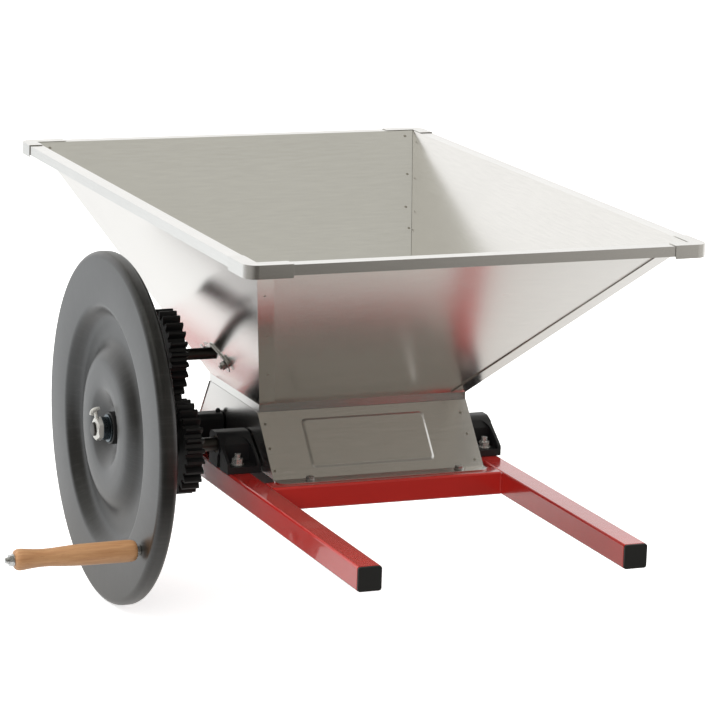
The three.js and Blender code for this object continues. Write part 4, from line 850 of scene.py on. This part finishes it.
def floor_paint(s):
    """Colour of the floor as steel sees it, from its place in metres."""
    tree = s.tree
    split = s.node("ShaderNodeSeparateXYZ")
    s.link(s.coords, split.inputs[0])
    x, y, _ = split.outputs
    beside = smooth_range(tree, math_node(tree, "ABSOLUTE", x), *BESIDE_X)
    past_front = smooth_range(tree, y, *PAST_FRONT_Y)
    beside = math_node(tree, "MULTIPLY", beside, past_front)
    behind = smooth_range(tree, y, *BEHIND_Y)
    bright = blend_colour(tree, FLOOR_OPEN, FLOOR_LEFT, smooth_range(tree, x, *LEFT_X))
    seen = blend_colour(tree, FLOOR_SHADOW_BELOW, bright, math_node(tree, "MAXIMUM", beside, behind))
    front = blend_colour(tree, FLOOR_FRONT, FLOOR_FRONT_RIGHT, smooth_range(tree, x, *FRONT_RIGHT_X))
    seen = blend_colour(tree, front, seen, past_front)
    far_left = smooth_range(tree, x, *FAR_LEFT_X)
    far_left = math_node(tree, "MULTIPLY", far_left, smooth_range(tree, y, *FAR_LEFT_Y))
    return blend_colour(tree, seen, FLOOR_FAR_LEFT, far_left)


def floor():
    bpy.ops.mesh.primitive_circle_add(vertices=96, radius=FLOOR_R, fill_type="NGON",
                                      location=(0, 0, cad_box[0][2] - FLOOR_GAP))
    ground = bpy.context.active_object
    ground.name = "floor"
    s = Surface("floor_surface")
    tree = s.tree
    s.set(Roughness=0.8, Specular_IOR_Level=0.0)
    seen = floor_paint(s)
    path = s.node("ShaderNodeLightPath")
    camera_ray, glossy_ray = path.outputs["Is Camera Ray"], path.outputs["Is Glossy Ray"]
    kept = math_node(tree, "SUBTRACT", 1.0, math_node(tree, "MULTIPLY", glossy_ray, DIFFUSE_LOST_TO_STEEL))
    s.colour(blend_colour(tree, blend_colour(tree, BLACK, seen, kept), FLOOR_SEEN, camera_ray))
    s.link(blend_colour(tree, seen, WHITE, camera_ray), s.shader.inputs["Emission Color"])
    glow = math_node(tree, "ADD", math_node(tree, "MULTIPLY", camera_ray, GLOW_TO_CAMERA),
                     math_node(tree, "MULTIPLY", glossy_ray, GLOW_TO_STEEL))
    s.link(glow, s.shader.inputs["Emission Strength"])
    ground.data.materials.append(s.material)


# Room. White to the eye; it lights the machine by direction, dark in front and bright behind.

ROOM_LEFT_FRONT = grey(0.06, 0.08)
# Each further colour, with the axis and the range of direction in which it takes over from those before
ROOM_LAYERS = [
    (grey(0.25, 0.09), "X", -0.6, 0.6),              # right front
    (grey(0.13, 0.08), "Z", 0.12, 0.4),              # upper front
    (grey(0.38, 0.04), "Z", 0.08, 0.0),              # horizon and below
    (grey(0.9), "X", 0.55, 0.85),                    # right
    ((1.0, 1.0, 0.995, 1), "Y", 0.0, 0.8),           # behind the machine
    ((0.52, 0.515, 0.475, 1), "Z", 0.45, 0.9),       # overhead
]


def room_colour(tree):
    coords = tree.nodes.new("ShaderNodeTexCoord")
    split = tree.nodes.new("ShaderNodeSeparateXYZ")
    tree.links.new(coords.outputs["Generated"], split.inputs[0])
    colour = ROOM_LEFT_FRONT
    for layer, axis, start, stop in ROOM_LAYERS:
        colour = blend_colour(tree, colour, layer, smooth_range(tree, split.outputs[axis], start, stop))
    return colour


def room():
    studio = bpy.data.worlds.new("studio")
    bpy.context.scene.world = studio
    studio.use_nodes = True
    tree = studio.node_tree
    tree.nodes.clear()
    out = tree.nodes.new("ShaderNodeOutputWorld")
    light = tree.nodes.new("ShaderNodeBackground")
    tree.links.new(room_colour(tree), light.inputs["Color"])
    shown = tree.nodes.new("ShaderNodeBackground")
    shown.inputs["Color"].default_value = WHITE
    path = tree.nodes.new("ShaderNodeLightPath")
    mixed = tree.nodes.new("ShaderNodeMixShader")
    tree.links.new(path.outputs["Is Camera Ray"], mixed.inputs["Fac"])
    tree.links.new(light.outputs[0], mixed.inputs[1])
    tree.links.new(shown.outputs[0], mixed.inputs[2])
    tree.links.new(mixed.outputs[0], out.inputs["Surface"])


# Lamps, with places in metres and power in watts. They don't show in the steel.

def lamp(name, place, target, size, power):
    data = bpy.data.lights.new(name, "AREA")
    data.shape = "RECTANGLE"
    data.size, data.size_y = size
    data.energy = power
    obj = bpy.data.objects.new(name, data)
    bpy.context.scene.collection.objects.link(obj)
    obj.location = place
    obj.rotation_euler = (Vector(target) - Vector(place)).to_track_quat("-Z", "Y").to_euler()
    obj.visible_glossy = False


# Camera, at the place and angle solved from the photograph

VIEW_AZIMUTH, VIEW_ELEVATION, VIEW_ROLL = (math.radians(v) for v in (22.706, 12.898, 1.944))
VIEW_PLACE = Vector((-1.6761, -3.9129, 1.1545))
VIEW_LENS = 175.05


def camera():
    ahead = Vector((math.sin(VIEW_AZIMUTH) * math.cos(VIEW_ELEVATION),
                    math.cos(VIEW_AZIMUTH) * math.cos(VIEW_ELEVATION), -math.sin(VIEW_ELEVATION)))
    right = Vector((math.cos(VIEW_AZIMUTH), -math.sin(VIEW_AZIMUTH), 0))
    up = right.cross(ahead)
    c, s = math.cos(VIEW_ROLL), math.sin(VIEW_ROLL)
    axes = (right * c + up * s, up * c - right * s, -ahead)
    data = bpy.data.cameras.new("view")
    data.sensor_width = 36
    data.lens = VIEW_LENS
    data.clip_end = 200
    obj = bpy.data.objects.new("view", data)
    bpy.context.scene.collection.objects.link(obj)
    matrix = Matrix.Identity(4)
    for column, axis in enumerate(axes):
        for row in range(3):
            matrix[row][column] = axis[row]
    matrix.translation = VIEW_PLACE
    obj.matrix_world = matrix
    bpy.context.scene.camera = obj


floor()
room()
lamp("key", (-2.6, 1.2, 3.6), (0, 0.15, 0.1), (2.6, 2.6), 110)
lamp("fill", (2.4, 0.6, 3.4), (0, 0.15, 0.1), (2.6, 2.6), 55)
lamp("front", (-2.1, -2.9, 1.7), (0, 0, 0.1), (3.0, 2.4), 85)
camera()
bpy.context.scene.view_settings.view_transform = "Standard"
